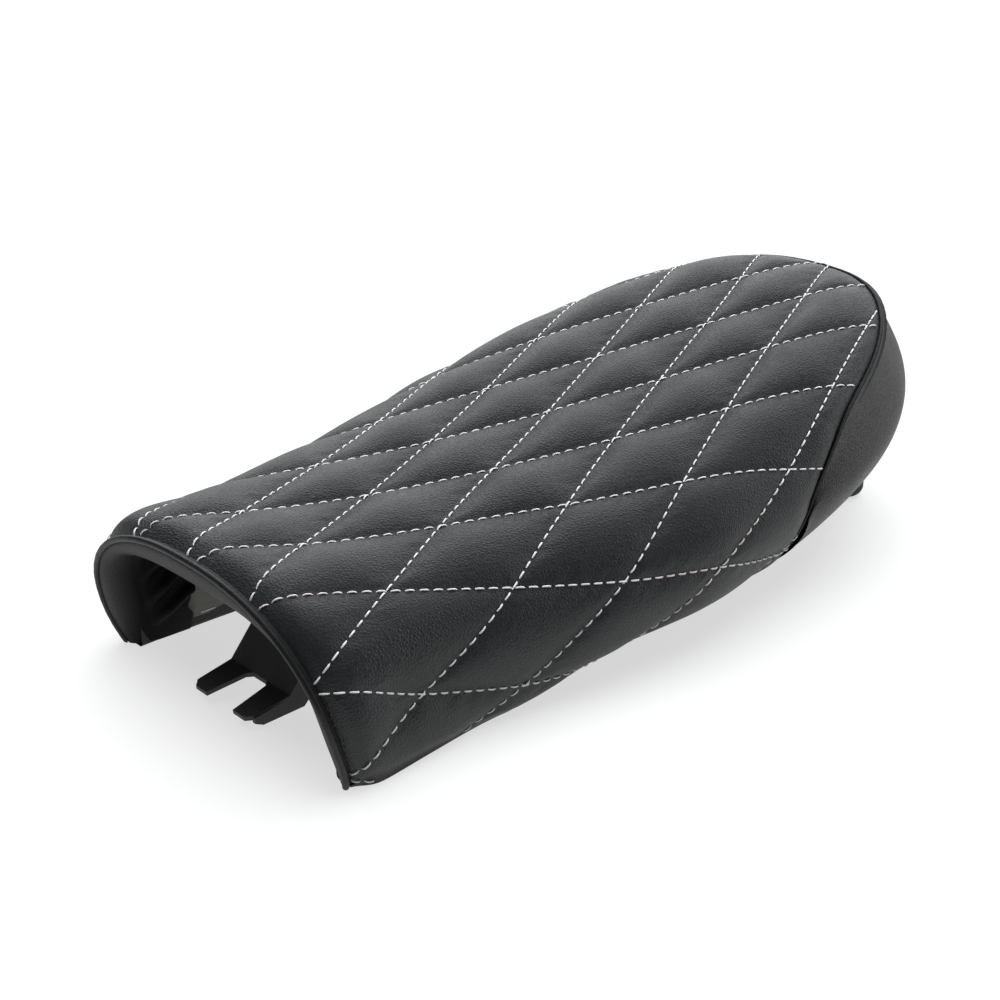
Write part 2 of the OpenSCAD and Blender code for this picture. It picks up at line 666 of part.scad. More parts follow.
hem_staple_xs = [235, 200, 165, 130, 95, 60, 25, -10, -45];
band_staple_s = [0.25, 0.55, 0.78, 0.92];
module cover_staples() {
  color("silver") both() {
    for (x = hem_staple_xs) {
      h = edge_y(x + 8) - edge_y(x - 8);
      translate([x, edge_y(x) - flap_d - skin_t, edge_z(x) + hem_h - 5])
        rotate([0, 0, atan(h / 16)]) staple();
    }
    for (s = band_staple_s) {
      a = band_flap(s - 0.02, skin_t)[1];
      b = band_flap(s + 0.02, skin_t)[1];
      m = (a + b) / 2;
      translate([m[0], m[1], m[2] - 5]) rotate([0, 0, atan2(a[1] - b[1], a[0] - b[0])]) staple();
    }
  }
}

top_panel();
quilt_wadding();
hem_strips();
rear_panel();
front_facing();
front_welt();
front_welt_cord();
rear_welt();
rear_welt_cord();
foam_cushion();
base_pan();
tongue_bracket();
tongue_backing_plate();
tongue_rivets();
rear_bracket();
rear_bracket_screws();
rear_bumpers();
rear_bumper_screws();
rail_bumpers();
cover_staples();
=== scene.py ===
"""Looks of a quilted cafe-style motorcycle seat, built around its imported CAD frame.

Lengths are millimetres in the seat's own frame (+X forward, +Y the rider's left, +Z up,
origin under the middle), and become metres where a mesh is made.
"""

import json
import math

import bpy
import numpy as np
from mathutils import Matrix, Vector

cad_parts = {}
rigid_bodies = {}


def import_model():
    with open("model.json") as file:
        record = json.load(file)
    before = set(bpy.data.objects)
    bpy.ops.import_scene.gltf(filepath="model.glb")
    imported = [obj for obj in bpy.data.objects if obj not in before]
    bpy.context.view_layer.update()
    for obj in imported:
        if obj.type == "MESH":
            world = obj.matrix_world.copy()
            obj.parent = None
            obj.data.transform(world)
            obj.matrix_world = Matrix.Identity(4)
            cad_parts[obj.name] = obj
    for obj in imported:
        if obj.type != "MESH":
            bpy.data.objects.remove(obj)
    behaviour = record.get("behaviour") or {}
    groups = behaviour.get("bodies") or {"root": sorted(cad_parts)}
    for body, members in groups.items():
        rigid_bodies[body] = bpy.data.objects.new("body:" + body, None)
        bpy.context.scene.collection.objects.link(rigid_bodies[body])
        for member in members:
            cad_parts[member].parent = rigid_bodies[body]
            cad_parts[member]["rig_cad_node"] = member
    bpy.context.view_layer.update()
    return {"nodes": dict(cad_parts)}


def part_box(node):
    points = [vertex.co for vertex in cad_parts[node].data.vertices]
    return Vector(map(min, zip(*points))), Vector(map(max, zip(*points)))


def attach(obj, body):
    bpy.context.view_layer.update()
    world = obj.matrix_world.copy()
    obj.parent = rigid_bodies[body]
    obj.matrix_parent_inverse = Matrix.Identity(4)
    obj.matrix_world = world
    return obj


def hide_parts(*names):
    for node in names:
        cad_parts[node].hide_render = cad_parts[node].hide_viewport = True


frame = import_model()
MM = 0.001
scene = bpy.context.scene


def run_length(line):
    """Length along a line of points at each of them."""
    return np.concatenate([[0], np.cumsum(np.linalg.norm(np.diff(line, axis=0), axis=1))])


def resample(at, run, line):
    """Points of a line at given lengths, from the lengths at its own points."""
    return np.stack([np.interp(at, run, line[:, i]) for i in range(line.shape[1])], -1)


def unit(v):
    return v / np.linalg.norm(v, axis=-1, keepdims=True)


# ---- shape of the cover ----

WELT_PROUD = 4  # CAD welt in front of the cover's edge
PANEL_SHY = 0.1  # CAD rear panel inside the full width
FRONT_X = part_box("front_welt")[1][0] / MM - WELT_PROUD  # front edge at the middle of the arch
BACK_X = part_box("rear_panel")[0][0] / MM  # back of the rear panel
HALF_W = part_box("rear_panel")[1][1] / MM + PANEL_SHY  # half width where the tail begins
TAIL_X = -67.0
TAIL_LEN = TAIL_X - BACK_X
TAIL_RISE = 0.2
TAIL_SQUARE = 0.2  # gain in squareness over the tail
ARCH_RAKE = 19.0  # how far the front edge leans back
ARCH_RAKE_POWER = 1.9
ARCH_RAKE_RUN = 64.0  # and how far back the lean reaches

# Stations: x, half width, crown, height of the widest point, bottom edge, tuck, squareness,
# top of the pan
STATIONS = np.array([
    [FRONT_X, 107.5, 96, 22, 0, 6, 2.35, 77],
    [203, 103, 92.5, 30, 0, 2, 3.4, 74],
    [138, 113.5, 94, 34, 0, 13, 3.3, 74],
    [73, 127, 99.5, 45, 16, 15, 2.9, 69],
    [13, HALF_W + 4, 107, 53, 23, 19, 3.1, 66],
    [TAIL_X, HALF_W, 120.5, 64, 24, 21, 3.75, 70]])
WIDTH, CROWN, WIDE_Z, EDGE_Z, TUCK, SQUARE, PAN_Z = range(1, 8)
BACK_WIDE_Z = 98.0  # the same heights at the back of the tail
BACK_EDGE_Z = 38.0
BACK_PAN_Z = 80.0
END_FALL = 5.0  # squareness of the crown's fall at the back
EDGE_LEN = 186.0  # the bottom edge ends this far behind TAIL_X
EDGE_TAPER = 1.4
TUCK_POWER = 1.8  # roundness below the widest point


def slopes(column):
    """End slopes of each bay between stations, for a smooth curve through them."""
    x, v = STATIONS[:, 0], STATIONS[:, column]
    m = np.empty(len(x))
    m[0] = (v[1] - v[0]) / (x[1] - x[0])
    m[-1] = {CROWN: -TAIL_RISE, WIDTH: 0.0}.get(column, (v[-1] - v[-2]) / (x[-1] - x[-2]))
    m[1:-1] = (v[2:] - v[:-2]) / (x[2:] - x[:-2])
    return m


def along(column, x):
    """Smooth value of a station column at x, over the flanks."""
    xs, v, m = STATIONS[:, 0], STATIONS[:, column], slopes(column)
    i = np.clip(np.searchsorted(-xs, -x, side="right") - 1, 0, len(xs) - 2)
    h = xs[i + 1] - xs[i]
    t = (x - xs[i]) / h
    return (v[i] * (2 * t**3 - 3 * t**2 + 1) + m[i] * h * (t**3 - 2 * t**2 + t)
            + v[i + 1] * (3 * t**2 - 2 * t**3) + m[i + 1] * h * (t**3 - t**2))


def tail_share(x):
    return np.clip((TAIL_X - x) / TAIL_LEN, 0.0, 1.0)


def to_back(column, back, x):
    last = STATIONS[-1, column]
    return last + (back - last) * tail_share(x)


def outline(x):
    """Section sizes at x: half width, crown, widest height, edge y, edge z, squareness."""
    x = np.asarray(x, float)
    tail = x < TAIL_X
    xf = np.maximum(x, TAIL_X)
    share = tail_share(x)
    width = np.where(tail, HALF_W * np.sqrt(1 - share**2), along(WIDTH, xf))
    wide_z = np.where(tail, to_back(WIDE_Z, BACK_WIDE_Z, x), along(WIDE_Z, xf))
    edge_z = np.where(tail, to_back(EDGE_Z, BACK_EDGE_Z, x), np.maximum(0, along(EDGE_Z, xf)))
    rise = STATIONS[-1, CROWN] + TAIL_RISE * (TAIL_X - x)
    crown = np.where(tail, wide_z + (rise - wide_z) * (1 - share**END_FALL) ** (1 / END_FALL),
                     along(CROWN, xf))
    back = np.clip((TAIL_X - x) / EDGE_LEN, 0, 1) ** EDGE_TAPER
    edge_y = np.where(tail, (HALF_W - STATIONS[-1, TUCK]) * np.sqrt(1 - back),
                      width - along(TUCK, xf))
    square = np.where(tail, STATIONS[-1, SQUARE] + TAIL_SQUARE * share, along(SQUARE, xf))
    return width, crown, wide_z, edge_y, edge_z, square


HEM_SWELL = 7.0
HEM_SWELL_START = 12.0
HEM_SWELL_RUN = 85.0
SIDE_SWELL = 0.35  # the widest line swells by this share of it


def hem_swell(x):
    """How far the hem stands out behind the front arch, where the padding pushes on it."""
    behind = np.maximum(0, FRONT_X - x)
    return (HEM_SWELL * (1 - np.exp(-(behind / HEM_SWELL_START) ** 2))
            * np.exp(-(behind / HEM_SWELL_RUN) ** 2))


def cover_sizes(x):
    """Section sizes of the padded cover."""
    width, crown, wide_z, edge_y, edge_z, square = outline(x)
    swell = hem_swell(x)
    return width + SIDE_SWELL * swell, crown, wide_z, edge_y + swell, edge_z, square


def pan_z(x):
    return np.where(x < TAIL_X, to_back(PAN_Z, BACK_PAN_Z, x),
                    along(PAN_Z, np.maximum(x, TAIL_X)))


def lean(x, z):
    """How far the front edge leans back at a height."""
    fall = np.maximum(0, 1 - z / STATIONS[0, CROWN]) ** ARCH_RAKE_POWER
    return ARCH_RAKE * fall * np.clip((x - FRONT_X + ARCH_RAKE_RUN) / ARCH_RAKE_RUN, 0, 1)


def profile(width, crown, wide_z, edge_y, edge_z, square, count=160):
    """Points (y, z) of half sections from the spine down to the bottom edge."""
    width, crown, wide_z, edge_y, edge_z, square = [
        np.atleast_1d(v)[:, None] for v in (width, crown, wide_z, edge_y, edge_z, square)]
    k = np.linspace(0, 1, count)[None, :]
    corner = 2 ** (-1 / square)
    top_y = corner * k
    side_z = corner * (1 - k)
    y = np.hstack([width * top_y, width * (1 - side_z**square) ** (1 / square),
                   width - (width - edge_y) * k**TUCK_POWER])
    z = np.hstack([wide_z + (crown - wide_z) * (1 - top_y**square) ** (1 / square),
                   wide_z + (crown - wide_z) * side_z,
                   wide_z - (wide_z - edge_z) * k])
    return y, z


class Skin:
    """A surface x, girth -> point. Girth is the length over the section from the spine."""

    def __init__(self, sizes, x_low, x_high, count=361):
        self.xs = np.arange(x_low, x_high + 0.5, 1.0)
        y, z = profile(*sizes(self.xs))
        step = np.hypot(np.diff(y), np.diff(z))
        girth = np.hstack([np.zeros((len(y), 1)), np.cumsum(step, axis=1)])
        self.girth = girth[:, -1]
        share = np.linspace(0, 1, count)
        self.y, self.z = (np.array([np.interp(share * g[-1], g, v) for g, v in zip(girth, rows)])
                          for rows in (y, z))

    def edge(self, x):
        return np.interp(x, self.xs, self.girth)

    def flat(self, x, g):
        """Point before the lean of the front edge."""
        x, g = np.broadcast_arrays(x, g)
        side = np.where(g < 0, -1.0, 1.0)
        share = np.clip(np.abs(g) / self.edge(x), 0, 1) * (self.y.shape[1] - 1)
        row = np.clip(x - self.xs[0], 0, len(self.xs) - 1.001)
        i, j = row.astype(int), np.minimum(share.astype(int), self.y.shape[1] - 2)
        p, q = row - i, share - j

        def blend(t):
            return ((t[i, j] * (1 - q) + t[i, j + 1] * q) * (1 - p)
                    + (t[i + 1, j] * (1 - q) + t[i + 1, j + 1] * q) * p)
        return x, side * blend(self.y), blend(self.z)

    def point(self, x, g):
        x, y, z = self.flat(x, g)
        return np.stack([x - lean(x, z), y, z], axis=-1)

    def normal(self, x, g, h=2.0):
        low, high = np.maximum(x - h, self.xs[0]), x + h
        dx = self.point(high, g) - self.point(low, g)
        lim = self.edge(x)
        a, b = np.clip(g - h, -lim, lim), np.clip(g + h, -lim, lim)
        dg = self.point(x, b) - self.point(x, a)
        n = np.cross(dx, dg)
        return n / np.maximum(np.linalg.norm(n, axis=-1, keepdims=True), 1e-9)


cover = Skin(cover_sizes, BACK_X + 4, FRONT_X + 8)

# ---- seam of the rear panel, as girth over x ----

SEAM_X = TAIL_X - 1  # the seam climbs the side here
SEAM_LOW_Z = 58.0  # up to this height, where it bends back
SEAM_BEND = 35.0  # length and top of the bend
SEAM_BEND_Z = 101.5
SEAM_LEN = 175.5  # it crosses the middle this far behind TAIL_X
SEAM_HALF_W = 128.5
SEAM_FALL = 1.5
SEAM_ROUND = 0.42
SEAM_STEP = 2  # spacing of its points
SEAM_ROUNDS = 180  # rounds of smoothing


def seam_y(x):
    share = np.clip((TAIL_X - x) / SEAM_LEN, 0, 1)
    return SEAM_HALF_W * np.maximum(0, 1 - share**SEAM_FALL) ** SEAM_ROUND


def seam_z(x):
    climb = np.sqrt(np.maximum(0, SEAM_X - x) / (SEAM_BEND - 1))
    return SEAM_LOW_Z + (SEAM_BEND_Z - SEAM_LOW_Z) * climb


def points_where(xs, value, axis):
    """(x, girth) where the cover's y (axis 0) or z (axis 1) first reaches a value."""
    share = np.linspace(0, 1, 721)
    out = []
    for x, v in zip(xs, value):
        _, y, z = cover.flat(x, share * cover.edge(x))
        hit = np.argmax(y >= v) if axis == 0 else np.argmax(z <= v)
        out.append((x, share[hit] * cover.edge(x)))
    return np.array(out)


def seam_line():
    """The near half of the seam as (x, girth), from the bottom edge to the spine."""
    zs = np.linspace(outline(SEAM_X)[4] + 0.5, SEAM_LOW_Z, 12)
    climb = points_where(np.full(12, SEAM_X), zs, 1)
    xb = SEAM_X - (SEAM_BEND - 1) * np.linspace(0, 1, 26)[1:] ** 2
    bend = points_where(xb, seam_z(xb), 1)
    sweep = np.sin(np.linspace(0, math.pi / 2, 90))[1:]
    xs = (TAIL_X - SEAM_BEND) - (SEAM_LEN - SEAM_BEND) * sweep
    line = np.vstack([climb, bend, points_where(xs, seam_y(xs), 0)])
    line[-1, 1] = 0
    run = run_length(line)
    line = resample(np.linspace(0, run[-1], int(run[-1] / SEAM_STEP)), run, line)
    for _ in range(SEAM_ROUNDS):
        line[1:-1] = (line[:-2] + 2 * line[1:-1] + line[2:]) / 4
    return line


seam = seam_line()


def seam_distance(x, g):
    """Signed distance from the seam in the (x, girth) plane, positive on the quilted side."""
    p = np.stack([x, np.abs(g)], -1).reshape(-1, 2)
    a, b = seam[:-1], seam[1:]
    ab = b - a
    best = np.full(len(p), 1e9)
    for start, run in zip(a, ab):
        t = np.clip(((p - start) @ run) / (run @ run), 0, 1)
        best = np.minimum(best, np.linalg.norm(p - start - t[:, None] * run, axis=1))
    order = np.argsort(seam[:, 0])
    limit = np.interp(p[:, 0], seam[order, 0], seam[order, 1], left=-1, right=1e9)
    inside = (p[:, 0] > SEAM_X) | (p[:, 1] < limit)
    return np.where(inside, best, -best).reshape(np.shape(x))


# ---- meshes ----

def make_mesh(name, points, faces, body="root"):
    """Mesh object from points in millimetres, riding on a body."""
    mesh = bpy.data.meshes.new(name)
    mesh.from_pydata((np.asarray(points, float) * MM).tolist(), [], [list(f) for f in faces])
    mesh.validate()
    mesh.polygons.foreach_set("use_smooth", [True] * len(mesh.polygons))
    obj = bpy.data.objects.new(name, mesh)
    scene.collection.objects.link(obj)
    if body:
        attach(obj, body)
    return obj


def grid_faces(rows, cols, close_cols=False, flip=False):
    """Quads over a grid of points, which may close round on itself."""
    last = cols if close_cols else cols - 1
    r, c = np.meshgrid(np.arange(rows - 1), np.arange(last), indexing="ij")
    d = (c + 1) % cols
    quads = np.stack([r * cols + c, (r + 1) * cols + c, (r + 1) * cols + d, r * cols + d], -1)
    quads = quads.reshape(-1, 4)
    return quads[:, ::-1] if flip else quads


def make_sheet(name, points, flip=False):
    """Mesh over a grid of points."""
    return make_mesh(name, points.reshape(-1, 3), grid_faces(*points.shape[:2], flip=flip))


# ---- quilt lattice ----
# Two families of stitch lines, straight in lattice coordinates: s counts across the seat,
# t along it from the tank end. The lines are where s + t and t - s are odd numbers.

CELL_S = 27.0  # girth of one step across
SIM_CELLS = 12  # steps along a diamond's side: simulation
FINE_CELLS = 24  # and final mesh, before one subdivision
LATTICE_LOW = -9  # the grids cover a = t + s and b = t - s
LATTICE_HIGH = 13  # from low to high
LATTICE_ROWS = (-1.9, 7.9)  # t beyond these is off the panel
LATTICE_SIDE = 9.5  # and so is s beyond this
MID_T = 3  # t at LATTICE_X
LATTICE_X = 12.5
CELL_T = 67.0  # length of one step along
SHRINK_T = 0.15  # steps shorten towards both ends
FRONT_SHIFT = (4, 12, 0.6, 1.5)  # middle, fall to the sides, t, spread
REAR_SHIFT = (1.3, 5.5, 1.5)  # per step of s, t, spread
DRIFT = (5, 3.5, 2.5, 3.5)  # size, t where it starts, run in t, spread in s


def lattice_x(s, t):
    """Where a lattice point lies along the seat."""
    back = MID_T - t
    side = np.clip((np.abs(s) - 1) / 2, 0, 1)
    middle, fall, row, spread = FRONT_SHIFT
    front = (middle - fall * side**2 * (3 - 2 * side)) * np.exp(-((t - row) / spread) ** 2)
    size, row, spread = REAR_SHIFT
    rear = size * (np.abs(s) - 1) * np.exp(-((t - row) / spread) ** 2)
    x = LATTICE_X + CELL_T * back - SHRINK_T * back**3 + front + rear
    return np.clip(x, cover.xs[0] + 1, cover.xs[-1] - 1)


def lattice_g(s, t):
    """Girth of a lattice point. The pattern drifts a little sideways over the tail."""
    size, start, run, spread = DRIFT
    drift = np.clip((t - start) / run, 0, 1)
    return CELL_S * s + size * drift**2 * (3 - 2 * drift) * np.exp(-((s + 1) / spread) ** 2)


PANEL_FRONT = FRONT_X - 0.6  # front edge of the quilted panel
SEAM_INSET = 1.2  # its edge beside the rear seam


def panel_distance(x, g):
    """Distance inside the nearest edge of the quilted panel."""
    return np.minimum(np.minimum(PANEL_FRONT - x, cover.edge(x) - np.abs(g)),
                      seam_distance(x, g) - SEAM_INSET)


def quilt_grid(cells):
    """Vertices (x, g, a, b), which of them are sewn down, and faces of the quilted panel,
    with a number of mesh steps along a diamond's side."""
    n = (LATTICE_HIGH - LATTICE_LOW) // 2 * cells + 1
    steps = np.linspace(LATTICE_LOW, LATTICE_HIGH, n)
    A, B = np.meshgrid(steps, steps, indexing="ij")
    S, T = (A - B) / 2, (A + B) / 2
    near = (T > LATTICE_ROWS[0]) & (T < LATTICE_ROWS[1]) & (np.abs(S) < LATTICE_SIDE)
    X, G = lattice_x(S, T), lattice_g(S, T)
    D = np.where(near, panel_distance(X, G), -99.0)
    x, g, d = X.ravel(), G.ravel(), D.ravel()
    faces = grid_faces(n, n)
    edges = np.vstack([faces[:, [k, (k + 1) % 4]] for k in range(4)])
    edges = np.unique(np.sort(edges, axis=1), axis=0)
    cross = edges[(d[edges[:, 0]] > 0) != (d[edges[:, 1]] > 0)]
    closer = np.abs(d[cross[:, 0]]) < np.abs(d[cross[:, 1]])
    snap = np.unique(np.where(closer, cross[:, 0], cross[:, 1]))
    h = 0.5  # reach of the slopes taken below
    for _ in range(4):  # moves the rim onto the panel's edge
        xs, gs = x[snap], g[snap]
        dd = panel_distance(xs, gs)
        gx = (panel_distance(xs + h, gs) - panel_distance(xs - h, gs)) / (2 * h)
        gg = (panel_distance(xs, gs + h) - panel_distance(xs, gs - h)) / (2 * h)
        size = np.maximum(gx**2 + gg**2, 0.3)
        x[snap] = xs - dd * gx / size
        g[snap] = gs - dd * gg / size
    ok = d > 0
    ok[snap] = True
    count = ok[faces].sum(axis=1)
    quads = faces[count == 4]
    tris = np.array([[v for v in f if ok[v]] for f in faces[count == 3]]).reshape(-1, 3)
    used = np.unique(np.concatenate([quads.ravel(), tris.ravel()]))
    index = np.full(len(x), -1)
    index[used] = np.arange(len(used))
    hold = np.zeros((n, n), bool)
    hold[::cells, :] = hold[:, ::cells] = True
    hold = hold.ravel()
    hold[snap] = True
    polys = [index[f] for f in quads] + [index[f] for f in tris]
    return x[used], g[used], A.ravel()[used], B.ravel()[used], hold[used], polys


GROOVE = (2.2, 2.0, 1.8)  # depth at the front and rear edge, width
ROLL = 6.0  # padding stands up behind the front edge
EDGE_EASE = 8.0
ROLL_RUN = 70.0
LINE_LIFT = 0.9  # height of the lines over the rest
LINE_EASE = 10.0
HEM_EASE = 12.0


def base_lift(x, g):
    """How far the stitch lines stand above the cover's surface: they dive at the edges."""
    front = np.maximum(PANEL_FRONT - x, 0)
    back = np.maximum(seam_distance(x, g) - SEAM_INSET, 0)
    hem = np.maximum(cover.edge(x) - np.abs(g), 0)
    front_depth, rear_depth, wide = GROOVE
    groove = (front_depth * np.exp(-(front / wide) ** 2)
              + rear_depth * np.exp(-(back / wide) ** 2))
    roll = ROLL * (1 - np.exp(-(front / EDGE_EASE) ** 2)) * np.exp(-front / ROLL_RUN)
    rear = 1 - np.exp(-(back / EDGE_EASE) ** 2)
    low = 1 - np.exp(-(hem / HEM_EASE) ** 2)
    return (roll + LINE_LIFT * (1 - np.exp(-(front / LINE_EASE) ** 2))) * rear * low - groove


def surface_point(x, g, lift):
    return cover.point(x, g) + cover.normal(x, g) * lift[..., None]


PUFF = 5.8  # height of a pillow over its stitch lines
PUFF_ROUND = 0.85  # below 1 gives a fuller pillow
PUFF_MAX = 1.35  # cap on the simulation, in PUFFs
PUFF_PERCENT = 97  # per cent of simulated points that stay below PUFF
PILLOW_EASE = 6.0  # run over which pillows fade at an edge
PUCKER = 0.16  # height of the ripples at the stitches
RIPPLES = [(1.0, 16.5, 2.3), (0.7, 9.7, 4.1), (0.5, 27.1, 1.7)]  # height, rate, line's phase
CELL_EDGE = 24.8  # lattice units to millimetres, near enough
RIPPLE_AWAY = (3.5, 3.2)  # distance from the line, and spread


def pillow(a, b):
    """0 on the stitch lines, 1 in the middle of a diamond."""
    return np.abs(np.sin(math.pi * (a - 1) / 2) * np.sin(math.pi * (b - 1) / 2))


def puckers(a, b):
    """Small ripples that run into the stitch lines."""
    total = 0
    for across, run in ((a, b), (b, a)):
        line = np.round((across - 1) / 2)
        away = np.abs(across - 1 - 2 * line) * CELL_EDGE
        wave = sum(height * np.sin(run * rate + line * phase) for height, rate, phase in RIPPLES)
        total = total + wave * np.exp(-((away - RIPPLE_AWAY[0]) / RIPPLE_AWAY[1]) ** 2)
    return total


def build_quilt():
    x, g, a, b, hold, polys = quilt_grid(FINE_CELLS)
    edge = np.maximum(panel_distance(x, g), 0)
    ease = 1 - np.exp(-(edge / PILLOW_EASE) ** 2)
    rise = blown_rise(a, b)
    rise = (rise + PUCKER * puckers(a, b)) * ease
    rise[hold] = 0
    points = surface_point(x, g, base_lift(x, g) + rise)
    obj = make_mesh("quilted_panel", points, polys)
    smooth = obj.modifiers.new("Smooth", "SUBSURF")
    smooth.levels = smooth.render_levels = 1
    return obj


def blown_rise(a, b):
    """Rise of the pillows at lattice points, from a cloth simulation on a coarser mesh."""
    x, g, ca, cb, hold, polys = quilt_grid(SIM_CELLS)
    lift = base_lift(x, g)
    start = surface_point(x, g, lift + np.where(hold, 0, pillow(ca, cb)))
    obj = make_mesh("quilt_pattern", start, polys)
    grown = inflate(obj, hold)
    bpy.data.objects.remove(obj)
    rise = ((grown - surface_point(x, g, lift)) * cover.normal(x, g)).sum(axis=1)
    rise *= PUFF / np.percentile(rise[~hold], PUFF_PERCENT)
    blocks = (LATTICE_HIGH - LATTICE_LOW) // 2
    coarse = np.zeros((blocks * SIM_CELLS + 1,) * 2)
    spot = [np.rint((v - LATTICE_LOW) * SIM_CELLS / 2).astype(int) for v in (ca, cb)]
    coarse[spot[0], spot[1]] = np.where(hold, 0, np.clip(rise, 0, PUFF_MAX * PUFF))
    fine = np.zeros((blocks * FINE_CELLS + 1,) * 2)
    m = refine_matrix(SIM_CELLS, FINE_CELLS)
    for i in range(blocks):
        for j in range(blocks):
            part = coarse[i * SIM_CELLS:(i + 1) * SIM_CELLS + 1,
                          j * SIM_CELLS:(j + 1) * SIM_CELLS + 1]
            fine[i * FINE_CELLS:(i + 1) * FINE_CELLS + 1,
                 j * FINE_CELLS:(j + 1) * FINE_CELLS + 1] = m @ part @ m.T
    at = [np.rint((v - LATTICE_LOW) * FINE_CELLS / 2).astype(int) for v in (a, b)]
    return PUFF * (np.maximum(fine[at[0], at[1]], 0) / PUFF) ** PUFF_ROUND


def refine_matrix(coarse, fine):
    """Cubic interpolation from a coarse to a fine row that keeps the creases at both ends."""
    m = np.zeros((fine + 1, coarse + 1))
    for k in range(fine + 1):
        u = k * coarse / fine
        i = min(int(u), coarse - 1)
        f = u - i
        weights = (-0.5 * f + f**2 - 0.5 * f**3, 1 - 2.5 * f**2 + 1.5 * f**3,
                   0.5 * f + 2 * f**2 - 1.5 * f**3, -0.5 * f**2 + 0.5 * f**3)
        for j, w in zip(range(i - 1, i + 3), weights):
            if j < 0:
                m[k, -j] -= w
            elif j > coarse:
                m[k, 2 * coarse - j] -= w
            else:
                m[k, j] += w
    return m


SIM = {"quality": 6, "mass": 0.3, "tension_stiffness": 8, "compression_stiffness": 8,
       "shear_stiffness": 4, "bending_stiffness": 0.5, "uniform_pressure_force": 500,
       "shrink_min": -0.004}
SIM_FRAMES = 20


def inflate(obj, hold):
    """Blows the padded panel up between its stitch lines with a cloth simulation."""
    group = obj.vertex_groups.new(name="held")
    group.add([int(i) for i in np.nonzero(hold)[0]], 1.0, "REPLACE")
    cloth = obj.modifiers.new("Cloth", "CLOTH")
    for key, value in SIM.items():
        setattr(cloth.settings, key, value)
    cloth.settings.use_pressure = True
    cloth.settings.vertex_group_mass = group.name
    cloth.settings.effector_weights.gravity = 0
    cloth.collision_settings.use_collision = False
    cloth.point_cache.frame_start = 1
    cloth.point_cache.frame_end = SIM_FRAMES
    for f in range(1, SIM_FRAMES + 1):
        scene.frame_set(f)
    result = obj.evaluated_get(bpy.context.evaluated_depsgraph_get())
    co = np.empty(len(obj.data.vertices) * 3)
    result.data.vertices.foreach_get("co", co)
    scene.frame_set(1)
    return co.reshape(-1, 3) / MM


quilt = build_quilt()
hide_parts("top_panel")

# ---- stitches ----

STITCH = 7.6  # pitch of the quilting stitches
STITCH_GAP = 0.75  # half the gap between two stitches
THREAD_R = 0.52
THREAD_FLAT = 0.8  # height over width of the thread
THREAD_THIN = 0.45  # share of its width lost at the needle holes
THREAD_RISE = 0.85  # middle of a stitch above the vinyl
THREAD_DIVE = 1.2  # and how much lower its ends are
FRONT_KEEP = 0.4  # lines stop this far from the front edge
EDGE_KEEP = 1.9  # and from the other edges
FRONT_NEAR = 6.0  # reach of the front edge's own distance


def stitch_runs():
    """Stitch lines on the panel as arrays of 3-D points and their outward normals."""
    runs = []
    t = np.arange(-1.6, 7.6, 0.01)
    for sign in (1, -1):
        for number in range(-9, 15, 2):
            s = sign * (number - t)
            near = np.abs(s) < 9
            x, g = (lattice(s[near], t[near]) for lattice in (lattice_x, lattice_g))
            stop = np.where(PANEL_FRONT - x < FRONT_NEAR, FRONT_KEEP, EDGE_KEEP)
            inside = panel_distance(x, g) > stop
            cuts = np.nonzero(np.diff(np.concatenate([[0], inside.astype(int), [0]])))[0]
            for a, b in cuts.reshape(-1, 2):
                if b - a > 12:
                    xs, gs = x[a:b], g[a:b]
                    line = surface_point(xs, gs, base_lift(xs, gs))
                    runs.append((line, cover.normal(xs, gs)))
    return runs


def build_stitches():
    sides, rings = 7, 7
    along_t = np.linspace(-1, 1, rings)
    points, faces = [], []
    for line, normal in stitch_runs():
        run = run_length(line)
        count = max(1, int(round(run[-1] / STITCH)))
        pitch = run[-1] / count
        half = 0.5 * pitch - STITCH_GAP
        for k in range(count):
            at = (k + 0.5) * pitch + along_t * half
            p, n = resample(at, run, line), resample(at, run, normal)
            d = unit(np.gradient(p, axis=0))
            side = unit(np.cross(n, d))
            up = np.cross(d, side)
            rise = THREAD_RISE - THREAD_DIVE * np.abs(along_t) ** 3
            thick = THREAD_R * (1 - THREAD_THIN * np.abs(along_t) ** 4)
            first = len(points)
            for r in range(rings):
                for q in range(sides):
                    turn = 2 * math.pi * q / sides
                    points.append(p[r] + up[r] * rise[r] + thick[r] * (
                        math.cos(turn) * side[r] + THREAD_FLAT * math.sin(turn) * up[r]))
            faces += (grid_faces(rings, sides, close_cols=True, flip=True) + first).tolist()
            faces.append([first + q for q in range(sides)])
            faces.append([first + (rings - 1) * sides + q for q in range(sides - 1, -1, -1)])
    return make_mesh("quilting_thread", points, faces)


thread = build_stitches()


# ---- swept edges ----

def sweep(name, path, ring, outward, size):
    """Sweeps a ring of (across, out) offsets along a path and caps it. outward gives the way
    that the ring's out side faces, and size scales the ring at each point."""
    d = unit(np.gradient(path, axis=0))
    out = unit(outward - (outward * d).sum(1, keepdims=True) * d)
    across = np.cross(d, out)
    pts = (path[:, None, :] + size[:, None, None] * (
        across[:, None, :] * ring[None, :, :1] + out[:, None, :] * ring[None, :, 1:]))
    n = len(ring)
    faces = grid_faces(len(path), n, close_cols=True).tolist()
    faces += [list(range(n)), [(len(path) - 1) * n + k for k in range(n - 1, -1, -1)]]
    return make_mesh(name, pts.reshape(-1, 3), faces)


def circle(radius, turn):
    return radius * np.stack([np.cos(turn), np.sin(turn)], 1)


def welt_ring(radius, flange=4.4, thick=0.8):
    """Bead that stands on its flat seam allowance."""
    bead = circle(radius, np.linspace(math.radians(-50), math.radians(230), 15))
    base = -0.85 * radius
    return np.vstack([bead, [[-flange, base], [-flange, base - thick],
                             [flange, base - thick], [flange, base]]])


